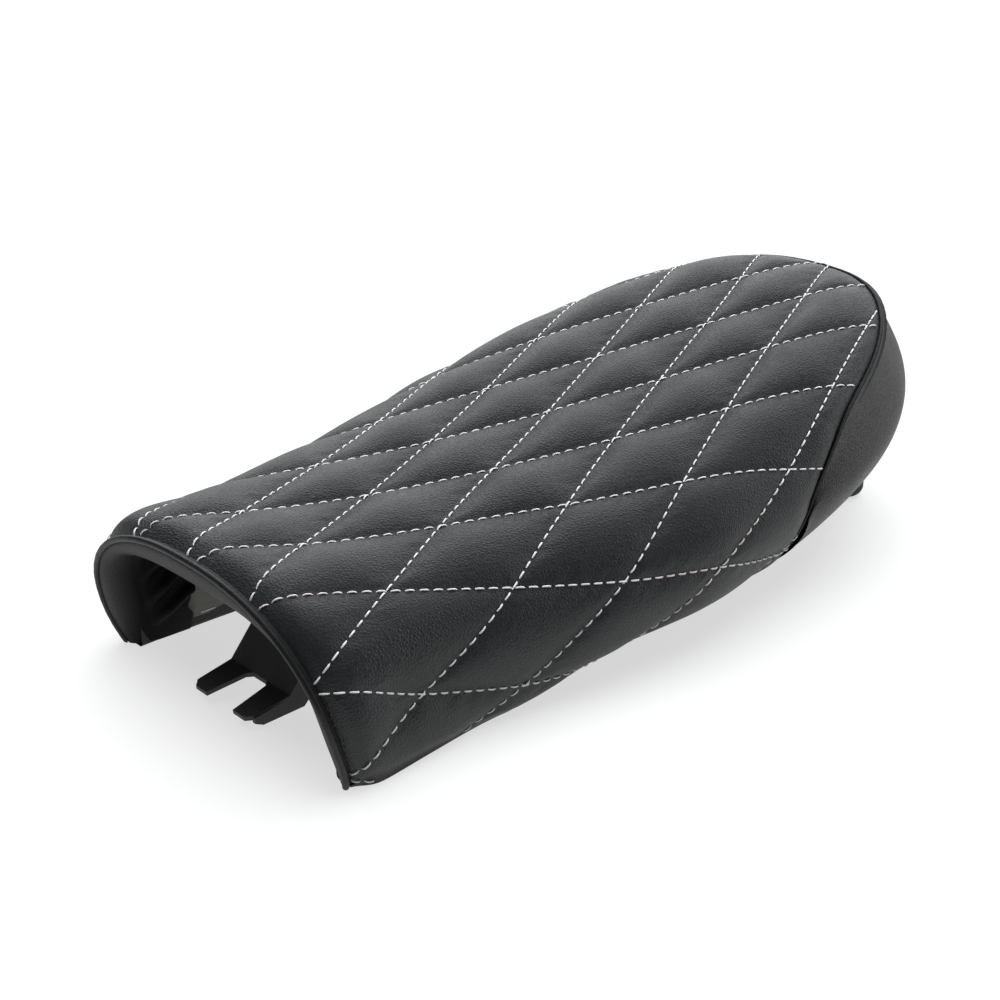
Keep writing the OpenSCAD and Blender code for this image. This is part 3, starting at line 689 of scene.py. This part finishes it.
def even(path, step=1.2):
    """The path at even steps, and the length along it at each of its points."""
    run = run_length(path)
    at = np.linspace(0, run[-1], int(run[-1] / step))
    return resample(at, run, path), at


def gathers(run):
    """Size of a bead along its length: the covering gathers a little."""
    turn = 2 * math.pi * run
    return 1 + 0.02 * np.sin(turn / 9.5) + 0.012 * np.sin(turn / 4.3 + 1)


FRONT_BEAD_R = 1.9
FRONT_BEAD_DEPTH = 0.7  # its centre below the cover's face
ARCH_MIDDLE = (FRONT_X - 20, 0, 30)
REAR_BEAD_R = 1.05
WELT_DEPTH = 1.4  # rear bead's centre below the cover's face
front_edge = cover.edge(FRONT_X)
arch_g = np.linspace(-front_edge, front_edge, 360)


def arch_line(x, depth):
    """A line round the front arch, at a depth below the cover's face."""
    xs = np.full_like(arch_g, x)
    return cover.point(xs, arch_g) - depth * cover.normal(xs, arch_g)


def build_front_welt():
    path = arch_line(FRONT_X, FRONT_BEAD_DEPTH) + [FRONT_BEAD_R, 0, 0]
    path[:, 2] = np.maximum(path[:, 2], FRONT_BEAD_R)
    path, run = even(path)
    ring = circle(FRONT_BEAD_R, np.linspace(0, 2 * math.pi, 18, endpoint=False))
    return sweep("front_welt_bead", path, ring, path - ARCH_MIDDLE, gathers(run))


def seam_path():
    """The rear bead's path over both halves of the seam, and the outward way along it."""
    point, normal = cover.point(*seam.T), cover.normal(*seam.T)
    return [np.vstack([near, near[-2::-1] * [1, -1, 1]])
            for near in (point - WELT_DEPTH * normal, normal)]


def build_rear_welt():
    path, out = seam_path()
    full = run_length(path)
    path, run = even(path)
    out = resample(run, full, out)
    return sweep("rear_welt_bead", path, welt_ring(REAR_BEAD_R), out, gathers(run))


front_welt = build_front_welt()
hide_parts("front_welt", "front_welt_cord")
rear_welt = build_rear_welt()
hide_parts("rear_welt", "rear_welt_cord")


# ---- rear panel ----

BAND_FRONT = 5.6  # front end of the panel behind TAIL_X
BAND_LEN = SEAM_LEN + 3.2 - BAND_FRONT  # from there to the back of its seam
BAND_LOW = 2.0  # its bottom corner lies ahead by this
MEET = (0.03, 2.2, 1.5)  # front end drawn to the seam: up to s, at the middle, at the bottom
BULGE = 0.036
BULGE_FRONT = 0.7  # below 1 brings the fullest part forward
WIDE_LIFT = 4.0  # widest line over the cover's at the back
WIDE_DROP = 3.0  # least drop from the seam to it
WIDE_BACK = 1.2
ROUND_SHARE = 0.4  # how much of the underside is rounded
ROUND_RUN = 3.0
SEAM_START = 8  # first point of the seam that it follows
SEAM_SINK = 0.6
SEAM_BEHIND = 1.1


def band_section(s, w):
    """Point of the rear panel: s 0 at its front end to 1 at the back, w 0 at the seam,
    1 at the widest line, 2 at the bottom edge."""
    s, w = np.broadcast_arrays(s, w)
    share, meet_wide, meet_low = MEET
    meet = np.clip(1 - s / share, 0, 1)
    front = TAIL_X - BAND_FRONT
    xm = front - (TAIL_LEN - BAND_FRONT) * s + meet_wide * meet
    xb = front + BAND_LOW - (EDGE_LEN - BAND_FRONT + BAND_LOW) * s + meet_low * meet
    top = band_top(s)
    width, _, wide_z, *_ = outline(xm)
    wide_z = np.minimum(wide_z + WIDE_LIFT * s, top[..., 2] - WIDE_DROP)
    bulge = 1 + BULGE * np.sin(math.pi * np.clip(s, 0, 1) ** BULGE_FRONT)
    wide = np.stack([xm - WIDE_BACK * s, width * bulge, wide_z], -1)
    *_, edge_y, edge_z, _ = outline(xb)
    low = np.stack([xb, edge_y, edge_z], -1)
    k = np.clip(w, 0, 1)[..., None]
    q = np.clip(w - 1, 0, 1)[..., None]
    bow = 0.5 * k**2 * (3 - 2 * k) + 0.5 * np.sin(k * math.pi / 2)
    upper = top + (wide - top) * np.concatenate([bow, bow, k], -1)
    rounder = ROUND_SHARE * np.clip(ROUND_RUN * s, 0, 1)[..., None]
    tuck = (1 - rounder) * q**TUCK_POWER + rounder * (0.5 - 0.5 * np.cos(math.pi * q))
    drop = np.concatenate([tuck, tuck, q], -1) * (low - wide)
    return upper + drop


def band_top_line():
    """Where the rear panel meets the welt: shares of its length, and the points there."""
    x, g = seam[SEAM_START:, 0], seam[SEAM_START:, 1]
    p = cover.point(x, g) - SEAM_SINK * cover.normal(x, g)
    d = unit(np.gradient(p, axis=0))
    back = np.cross(cover.normal(x, g), d)
    back *= np.sign((back * (p - [0, 0, 90])).sum(1, keepdims=True))
    back[-1] = [-1, 0, 0]
    p = p + SEAM_BEHIND * back
    share = (TAIL_X - BAND_FRONT - p[:, 0]) / BAND_LEN
    order = np.argsort(share)
    return share[order], p[order]


top_shares, top_points = band_top_line()


def band_top(s):
    return resample(s, top_shares, top_points)


def build_rear_panel():
    half = 120
    turn = np.linspace(-1, 1, 2 * half + 1)
    s = np.cos(turn * math.pi / 2)
    w = np.concatenate([np.linspace(0, 1, 36), np.linspace(1, 2, 36)[1:]])
    pts = band_section(s[:, None], w[None, :])
    pts[..., 1] *= np.sign(turn + 1e-9)[:, None]
    pts[half, :, 1] = 0
    # rolled in at the seam, so that the panel dives behind the welt
    tuck = pts[:, :1] + [0, 0, -3.0] + 2.0 * inward(pts[:, :1])
    fold = fold_under(pts[:, -1], level_inward(pts[:, -1]), PANEL_FOLD)
    pts = np.concatenate([tuck, pts, fold], axis=1)
    return make_sheet("rear_panel_cover", pts)


def inward(p):
    """Unit vectors from points of the rear panel to its middle."""
    return unit(np.array([TAIL_X - 40, 0, 85]) - p)


HEM_IN = 11.6  # how far a bottom edge is turned in
HEM_H = 14.0  # and how high it stands inside
HEM_END = [(HEM_IN, 2.5), (HEM_IN, HEM_H)]
PANEL_FOLD = [(0.9, -0.4), (2.2, -0.2), (5, 0.2), (HEM_IN - 2, 0.4), (HEM_IN - 0.6, 1.0)]
SKIRT_FOLD = [(0.6, -0.5), (1.6, -0.7), (3, -0.6), (HEM_IN - 2, 0.1), (HEM_IN - 0.6, 0.9)]
FLOOR_GAP = 0.05


def fold_under(edge, into, steps):
    """Rows that turn a bottom edge in under the pan and up inside it."""
    rows = np.stack([edge + into * across + [0, 0, up] for across, up in steps + HEM_END], 1)
    rows[..., 2] = np.maximum(rows[..., 2], FLOOR_GAP)
    return rows


def level_inward(edge):
    """Level unit vectors square to the rear panel's bottom edge, towards its inside."""
    d = np.gradient(edge, axis=0)
    d[:, 2] = 0
    d = unit(d)
    into = np.stack([-d[:, 1], d[:, 0], np.zeros(len(d))], 1)
    return into * np.sign((into * (edge.mean(axis=0) - edge)).sum(1, keepdims=True) + 1e-9)


rear_panel = build_rear_panel()
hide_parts("rear_panel")


# ---- hems of the skirts ----

def build_hem(side):
    x = np.linspace(FRONT_X - 1, SEAM_X + 2, 200)
    g = cover.edge(x)
    edge, up = (cover.point(x, at) * [1, side, 1] for at in (g, g - 2.0))
    into = np.outer(1 + hem_swell(x) / HEM_IN, [0, -side, 0])  # longer where the hem swells
    pts = np.concatenate([up[:, None], edge[:, None], fold_under(edge, into, SKIRT_FOLD)], axis=1)
    return make_sheet("hem_left" if side > 0 else "hem_right", pts, flip=side > 0)


hems = [build_hem(1), build_hem(-1)]
for hem in hems:
    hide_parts("hem_strips")


# ---- front facing ----

PAN_SQUARE = 7.0
PAN_WAIST = 0.45  # height of its widest point, as a share
PAN_T = 3.0
PAN_SIDE = 16.0  # padding at the sides
PAN_SIDE_TAIL = 12.0  # and how much more over the tail
PAN_EDGE = (6.7, 2.5)  # its edge inside and above the cover's
LIP_RUN = 45.0
LIP_RISE = 5.0
LIP_OUT = 3.0
LIP_ROUND = 4.2


def lip_share(x):
    """The pan flares towards the front arch: 0 behind the lip to 1 at the arch."""
    return np.maximum(0, 1 - (FRONT_X - x) / LIP_RUN)


def pan_sizes(depth):
    """Section sizes of the pan's face at a depth below its outer face."""
    def sizes(x):
        width, _, _, edge_y, edge_z, _ = outline(x)
        lip = lip_share(x)
        top = pan_z(x) + LIP_RISE * lip**2
        wide_z = edge_z + PAN_WAIST * (top - edge_z)
        side = PAN_SIDE + PAN_SIDE_TAIL * tail_share(x) - LIP_OUT * lip
        return (width - side - depth, top - depth, wide_z,
                edge_y - PAN_EDGE[0] - depth, edge_z + PAN_EDGE[1], PAN_SQUARE - LIP_ROUND * lip)
    return sizes


pan_inner = Skin(pan_sizes(PAN_T + 1.6), BACK_X + 22, FRONT_X + 2)
FACING_IN = 46.0  # how far the facing reaches in
FACING_TURN = 15.0  # where its roll has met the pan
FACING_RIM = (2.3, 1.4)  # its outer edge under and ahead of the cover's
FACING_T = 0.9
FACING_GAP = 0.8
FOLD_START = 14.0  # folds grow over this run
FOLD_LOW = 16.0  # and die out this near the bottom
FRAY = (22.0, 9.0, 1.6)  # the uneven inner edge: start, run, size
# slack folds: girth above the bottom edge, slope, width and height
FOLDS = [(12, 0.5, 3.0, 4.6), (25, 0.7, 3.4, 5.8), (40, 0.9, 3.2, 5.0), (58, 1.1, 4.5, 3.6)]


def build_facing():
    """Rolls from the welt back under the arch, then in along the pan, with a few slack folds."""
    v = np.linspace(-1, 1, 361)
    x0 = np.full_like(v, FRONT_X)
    rim_g = v * cover.edge(FRONT_X)
    rim = (cover.point(x0, rim_g) - FACING_RIM[0] * cover.normal(x0, rim_g)
           + [FACING_RIM[1], 0, 0])
    turned = np.full_like(v, FRONT_X - FACING_TURN)
    lip = pan_inner.point(turned, v * pan_inner.edge(turned))
    rows = [rim + [-3.5, 0, 0] + 1.2 * cover.normal(x0, rim_g)]
    for turn in np.linspace(0, math.pi / 2, 12):
        rows.append(lip + (rim - lip) * np.array([math.cos(turn) ** 1.15, 1 - math.sin(turn),
                                                  1 - math.sin(turn)]))
    steeper = np.where(v < 0, 0.12, 0.0)
    fray_from, fray_run, fray_size = FRAY
    for back in np.linspace(2, FACING_IN - FACING_TURN, 26):
        x = np.full_like(v, FRONT_X - FACING_TURN - back)
        edge = pan_inner.edge(x)
        p = pan_inner.point(x, v * edge)
        n = pan_inner.normal(x, v * edge)
        low = edge * (1 - np.abs(v))
        slack = np.zeros_like(v)
        for start, slope, wide, height in FOLDS:
            slack += height * np.exp(-((low - start - (slope + steeper) * back) / wide) ** 2)
        slack *= min(1, back / FOLD_START) * np.clip(low / FOLD_LOW, 0, 1)
        ragged = np.sin(v * 37 + 2) + 0.5 * np.sin(v * 83 + 5)
        fray = fray_size * max(0, (back - fray_from) / fray_run) * ragged
        rows.append(p - n * (FACING_GAP + slack)[:, None] + fray[:, None] * [1, 0, 0])
    obj = make_sheet("front_facing_cover", np.stack(rows, axis=1))
    thick = obj.modifiers.new("Thickness", "SOLIDIFY")
    thick.thickness = FACING_T * MM
    thick.offset = -1
    return obj


facing = build_facing()
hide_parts("front_facing")


# ---- wadding and foam, under the cover ----

def layer_rows(x_front, x_back, count):
    return x_front + (x_back - x_front) * np.sin(np.linspace(0, 1, count) * math.pi / 2)


COLS = 81


def skin_rows(skin, xs, stop):
    """x and girth of rows across a skin, down to a share of its girth."""
    v = np.linspace(-1, 1, COLS)
    return np.repeat(xs[:, None], COLS, 1), v[None, :] * (skin.edge(xs) * stop)[:, None]


def cover_grid(xs, depth, stop):
    """Points at a depth below the cover's face, in rows down to a share of its girth."""
    depth = np.broadcast_to(depth, xs.shape)
    X, G = skin_rows(cover, xs, stop)
    return cover.point(X, G) - cover.normal(X, G) * depth[:, None, None]


def closed_layer(name, outer, inner):
    """Closed solid between two equal grids of points."""
    rows, cols = outer.shape[:2]
    n = rows * cols
    faces = grid_faces(rows, cols).tolist() + (grid_faces(rows, cols, flip=True) + n).tolist()
    loop = [(0, c) for c in range(cols)] + [(r, cols - 1) for r in range(1, rows)]
    loop += [(rows - 1, c) for c in range(cols - 2, -1, -1)]
    loop += [(r, 0) for r in range(rows - 2, 0, -1)]
    ids = [r * cols + c for r, c in loop]
    faces += [[ids[k - 1], ids[k], ids[k] + n, ids[k - 1] + n] for k in range(len(ids))]
    return make_mesh(name, np.vstack([outer.reshape(-1, 3), inner.reshape(-1, 3)]), faces)


WADDING_D = 2.0  # depth of each layer's face
FOAM_D = 7.0
FOAM_D_TAIL = 5.0  # more of it over the tail
FOAM_STOP = 0.9  # the foam ends at this share of the girth
FOAM_LIFT = 5.0  # and stays this far above the pan
LAYER_GAP = 0.6
WADDING_INSET = 9.0


def girth_stop(xs, inset):
    """Share of the girth where a layer ends, short of the rear seam and the hem."""
    order = np.argsort(seam[:, 0])
    limit = np.interp(xs, seam[order, 0], seam[order, 1])
    edge = cover.edge(xs)
    return np.where(xs < SEAM_X + 6, np.minimum(limit, edge) - inset, edge - inset) / edge


def build_wadding():
    xs = layer_rows(FRONT_X - 5, TAIL_X - SEAM_LEN + 12, 90)
    stop = np.clip(girth_stop(xs, WADDING_INSET), 0.05, 1)
    return closed_layer("wadding_layer", cover_grid(xs, WADDING_D, stop),
                        cover_grid(xs, FOAM_D - LAYER_GAP, stop))


def build_foam():
    xs = layer_rows(FRONT_X - 6, TAIL_X - 0.9 * TAIL_LEN, 80)
    outer = cover_grid(xs, FOAM_D + FOAM_D_TAIL * tail_share(xs), FOAM_STOP)
    inner = pan_outer.point(*skin_rows(pan_outer, xs, FOAM_STOP)) + [0, 0, FOAM_LIFT]
    return closed_layer("foam_block", outer, inner)


pan_outer = Skin(pan_sizes(0.0), BACK_X + 12, FRONT_X + 2)
wadding = build_wadding()
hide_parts("quilt_wadding")
foam = build_foam()
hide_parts("foam_cushion")


# ---- materials ----

class Nodes:
    """Short way to build the nodes of a new material, or of a world."""

    def __init__(self, name, kind="materials"):
        self.mat = getattr(bpy.data, kind).new(name)
        self.mat.use_nodes = True
        self.tree = self.mat.node_tree
        self.bsdf = self.tree.nodes.get("Principled BSDF")

    def add(self, kind, **values):
        node = self.tree.nodes.new(kind)
        for key, value in values.items():
            if hasattr(node, key):
                setattr(node, key, value)
            else:
                node.inputs[key.replace("_", " ")].default_value = value
        return node

    def join(self, out, target):
        self.tree.links.new(out, target)

    def set(self, **values):
        for key, value in values.items():
            self.bsdf.inputs[key.replace("_", " ")].default_value = value

    def feed(self, out, key):
        self.join(out, self.bsdf.inputs[key])

    def coords(self):
        return self.add("ShaderNodeTexCoord").outputs["Object"]

    def ramp(self, source, low, high, low_value, high_value, easing="LINEAR"):
        node = self.add("ShaderNodeMapRange", interpolation_type=easing)
        self.join(source, node.inputs["Value"])
        for key, v in [("From Min", low), ("From Max", high), ("To Min", low_value),
                       ("To Max", high_value)]:
            node.inputs[key].default_value = v
        return node.outputs["Result"]

    def mix(self, factor, color_a, color_b):
        node = self.add("ShaderNodeMix", data_type="RGBA")
        self.join(factor, node.inputs[0])
        for slot, c in ((6, color_a), (7, color_b)):
            if isinstance(c, tuple):
                node.inputs[slot].default_value = (*c, 1)
            else:
                self.join(c, node.inputs[slot])
        return node.outputs[2]

    def noise(self, scale, detail=3.0, rough=0.5):
        node = self.add("ShaderNodeTexNoise", Scale=scale, Detail=detail, Roughness=rough)
        self.join(self.coords(), node.inputs["Vector"])
        return node.outputs["Fac"]

    def cells(self, scale, feature="DISTANCE_TO_EDGE"):
        node = self.add("ShaderNodeTexVoronoi", feature=feature, Scale=scale)
        self.join(self.coords(), node.inputs["Vector"])
        return node.outputs["Distance"]

    def bump(self, height, strength, distance, below=None):
        node = self.add("ShaderNodeBump", Strength=strength, Distance=distance)
        self.join(height, node.inputs["Height"])
        if below is not None:
            self.join(below, node.inputs["Normal"])
        self.join(node.outputs["Normal"], self.bsdf.inputs["Normal"])
        return node.outputs["Normal"]

    def seen(self, rest, camera):
        """One value for the camera's rays and another for the rest."""
        node = self.add("ShaderNodeLightPath")
        return self.ramp(node.outputs["Is Camera Ray"], 0, 1, rest, camera)

    def blend(self, factor, first, second, output):
        """Mixes two shaders into the output node."""
        node = self.add("ShaderNodeMixShader")
        for k, out in enumerate((factor, first, second)):
            self.join(out, node.inputs[k])
        self.join(node.outputs[0], output.inputs["Surface"])


def pebbles(n):
    """Height of the pebbled grain of the vinyl."""
    return n.ramp(n.cells(520), 0.0, 0.3, 0, 1)


def vinyl(name, dark, light, rough=0.39, grain=0.55):
    """Pebbled black vinyl."""
    n = Nodes(name)
    broad = n.noise(14, 2)
    color = n.mix(n.ramp(broad, 0.35, 0.65, 0, 1), dark, light)
    n.feed(color, "Base Color")
    n.feed(n.ramp(n.noise(38, 3), 0.3, 0.7, rough - 0.04, rough + 0.05), "Roughness")
    n.set(Specular_IOR_Level=0.5)
    fine = n.noise(2600, 2)
    under = n.bump(pebbles(n), grain, 0.00035)
    n.bump(fine, grain * 0.4, 0.00008, under)
    return n.mat


def facing_vinyl_painted_shade():
    """Plain vinyl with painted shade: its colour darkens and its shine drops from the front rim in
    to the inside of the arch, where the arch shades it.
    """
    n = Nodes("facing_vinyl_painted_shade")
    place = n.add("ShaderNodeSeparateXYZ")
    n.join(n.coords(), place.inputs[0])
    rim = n.ramp(place.outputs["X"], (FRONT_X - 20) * MM, (FRONT_X - 5) * MM, 0, 1)
    # painted shade: colour and shine fall from the front rim (rim 1) to deep in the arch (rim 0)
    n.feed(n.mix(rim, (0.005, 0.005, 0.005), (0.013, 0.013, 0.0135)), "Base Color")
    n.feed(n.ramp(rim, 0, 1, 0.12, 0.4), "Specular IOR Level")
    n.set(Roughness=0.48)
    n.bump(pebbles(n), 0.4, 0.0003)
    return n.mat


def thread_material():
    n = Nodes("white_thread")
    wave = n.add("ShaderNodeTexWave", Scale=900, Distortion=1.5)
    n.join(n.coords(), wave.inputs["Vector"])
    tint = n.mix(n.ramp(n.noise(9, 2), 0.55, 0.75, 0, 1), (0.82, 0.82, 0.83),
                 (0.8, 0.69, 0.71))
    n.feed(tint, "Base Color")
    n.set(Roughness=0.6, Sheen_Weight=0.3)
    n.bump(wave.outputs["Fac"], 0.4, 0.0002)
    return n.mat


def painted_steel():
    n = Nodes("black_steel")
    worn = n.mix(n.ramp(n.noise(60, 4), 0.58, 0.7, 0, 1), (0.06, 0.06, 0.061),
                 (0.08, 0.08, 0.08))
    n.feed(worn, "Base Color")
    n.feed(n.ramp(n.noise(180, 3), 0.3, 0.7, 0.42, 0.56), "Roughness")
    n.bump(n.noise(900, 2), 0.12, 0.0002)
    return n.mat


def simple(name, spots, dark, light, relief, strength, distance, **values):
    """Material with a mottled colour and one bump. spots and relief build its textures."""
    n = Nodes(name)
    n.feed(n.mix(spots(n), dark, light), "Base Color")
    n.set(**values)
    n.bump(relief(n), strength, distance)
    return n.mat


def dress(obj, material):
    """Gives a piece its only material."""
    obj.data.materials.clear()
    obj.data.materials.append(material)


plain_vinyl = vinyl("plain_vinyl", (0.016, 0.016, 0.0165), (0.021, 0.021, 0.0215), 0.37, 0.6)
for piece, material in [
        (quilt, vinyl("quilted_vinyl", (0.0135, 0.0145, 0.0155), (0.019, 0.0205, 0.022))),
        (front_welt, vinyl("bead_vinyl", (0.007, 0.007, 0.0075), (0.01, 0.01, 0.0105), 0.42, 0.2)),
        # rear bead: black piping made darker than the rest of the vinyl, painted shade of the
        # shadowed gap along the rear seam
        (rear_welt, vinyl("seam_vinyl_painted_shade", (0.004, 0.004, 0.004), (0.006, 0.006, 0.006), 0.5, 0.2)),
        (facing, facing_vinyl_painted_shade()), (rear_panel, plain_vinyl), *((hem, plain_vinyl) for hem in hems)]:
    dress(piece, material)
dress(thread, thread_material())

nodes = frame["nodes"]
steel = painted_steel()
zinc = simple("zinc_steel", lambda n: n.cells(260, "F1"), (0.5, 0.5, 0.48), (0.62, 0.62, 0.6),
              lambda n: n.noise(700, 2), 0.1, 0.0001, Metallic=1.0, Roughness=0.38)
rubber = simple("black_rubber", lambda n: n.noise(50, 4), (0.012, 0.012, 0.012),
                (0.022, 0.022, 0.021), lambda n: n.noise(500, 3), 0.25, 0.0002, Roughness=0.6)
pan_plastic = simple("grey_pan_plastic", lambda n: n.noise(30, 4), (0.17, 0.175, 0.15),
                     (0.21, 0.215, 0.19), lambda n: n.noise(420, 4, 0.7), 0.25, 0.0004,
                     Roughness=0.55)
cream_foam = simple("cream_foam", lambda n: n.noise(90, 3), (0.75, 0.66, 0.4), (0.82, 0.74, 0.5),
                    lambda n: n.cells(700), 0.6, 0.0006, Roughness=0.9)
white_wadding = simple("white_wadding", lambda n: n.noise(220, 5), (0.78, 0.78, 0.76),
                       (0.9, 0.9, 0.88), lambda n: n.noise(900, 5), 0.6, 0.0006,
                       Roughness=0.95, Sheen_Weight=0.5)
for name in ("tongue_bracket", "rear_bracket"):
    dress(nodes[name], steel)
for name in ("tongue_backing_plate", "tongue_rivets", "rear_bracket_screws", "rear_bumper_screws",
             "cover_staples"):
    dress(nodes[name], zinc)
for name in ("rear_bumpers", "rail_bumpers"):
    dress(nodes[name], rubber)
dress(nodes["base_pan"], pan_plastic)
dress(foam, cream_foam)
dress(wadding, white_wadding)


# ---- floor, light and camera ----

FLOOR_SIZE = 6000.0  # half of its side
FLOOR_FADE = (0.24, 0.52, 0.6, 1)  # distances in metres, then the share of glow at each: the glow by the seat is painted light over its shadow, and further out the floor is all plain glowing white
FLOOR_GLOW_STRENGTH = (0.6, 1.06)  # strength of the glow for other rays, so it also lights the seat and shows in its reflections, and for the camera's


def build_floor():
    r = FLOOR_SIZE
    floor = make_mesh("floor", [[-r, -r, 0], [r, -r, 0], [r, r, 0], [-r, r, 0]],
                      [[0, 1, 2, 3]], body=None)
    n = Nodes("pale_floor")
    n.set(Base_Color=(0.84, 0.84, 0.84, 1), Roughness=0.9, Specular_IOR_Level=0.1)
    n.bump(n.noise(3, 2), 0.02, 0.001)
    length = n.add("ShaderNodeVectorMath", operation="LENGTH")
    n.join(n.coords(), length.inputs[0])
    floor_glow = n.add("ShaderNodeEmission")
    n.join(n.seen(*FLOOR_GLOW_STRENGTH), floor_glow.inputs["Strength"])
    # painted light: the floor glows even right by the seat, lifting its shadow, and the glow lights
    # the seat like a lamp
    n.blend(n.ramp(length.outputs["Value"], *FLOOR_FADE), n.bsdf.outputs[0], floor_glow.outputs[0],
            n.tree.nodes["Material Output"])
    floor.data.materials.append(n.mat)


AIM = (0, 0, 0.05)  # where the lamps point


def area_light(name, location, size, power, color=(1, 1, 1), glossy=True):
    data = bpy.data.lights.new(name, "AREA")
    data.shape = "RECTANGLE"
    data.size = data.size_y = size
    data.energy = power
    data.color = color
    obj = bpy.data.objects.new(name, data)
    scene.collection.objects.link(obj)
    obj.location = location
    obj.rotation_euler = (Vector(AIM) - Vector(location)).to_track_quat("-Z", "Y").to_euler()
    obj.visible_camera = False
    obj.visible_glossy = glossy


BACKDROP = (-0.64, -0.64, 0.42)  # way from the seat to the bright backdrop
BACKDROP_EDGE = 0.62  # cosine where it has faded out
BACKDROP_LIGHT = (0.06, 1.6)  # strength of the rest, and of its middle
CAMERA_WHITE = 1.1  # strength of the world in the picture


def build_world():
    """Bright backdrop on one side, plain white in the picture."""
    n = Nodes("studio", "worlds")
    n.tree.nodes.clear()
    scene.world = n.mat
    toward = n.add("ShaderNodeVectorMath", operation="DOT_PRODUCT")
    toward.inputs[1].default_value = BACKDROP
    n.join(n.add("ShaderNodeTexCoord").outputs["Generated"], toward.inputs[0])
    fill = n.add("ShaderNodeBackground", Color=(0.95, 0.98, 1.0, 1))
    n.join(n.ramp(toward.outputs["Value"], BACKDROP_EDGE, 1, *BACKDROP_LIGHT, "SMOOTHSTEP"),
           fill.inputs["Strength"])
    plain = n.add("ShaderNodeBackground", Color=(1, 1, 1, 1), Strength=CAMERA_WHITE)
    n.blend(n.seen(0, 1), fill.outputs[0], plain.outputs[0], n.add("ShaderNodeOutputWorld"))


build_floor()
build_world()
area_light("top_softbox", (-0.25, -0.1, 1.7), 2.2, 62, color=(0.97, 0.99, 1.0), glossy=False)
area_light("tail_fill", (-1.6, 0.9, 0.7), 1.2, 6)

camera = bpy.data.objects.new("camera", bpy.data.cameras.new("camera"))
scene.collection.objects.link(camera)
camera.location = (0.6870, 0.6942, 0.4910)
camera.rotation_euler = (math.radians(90 - 24.438), 0, math.radians(137.51))
camera.data.lens = 63.44
camera.data.sensor_width = 36
camera.data.clip_start = 0.05
scene.camera = camera
scene.view_settings.view_transform = "Standard"
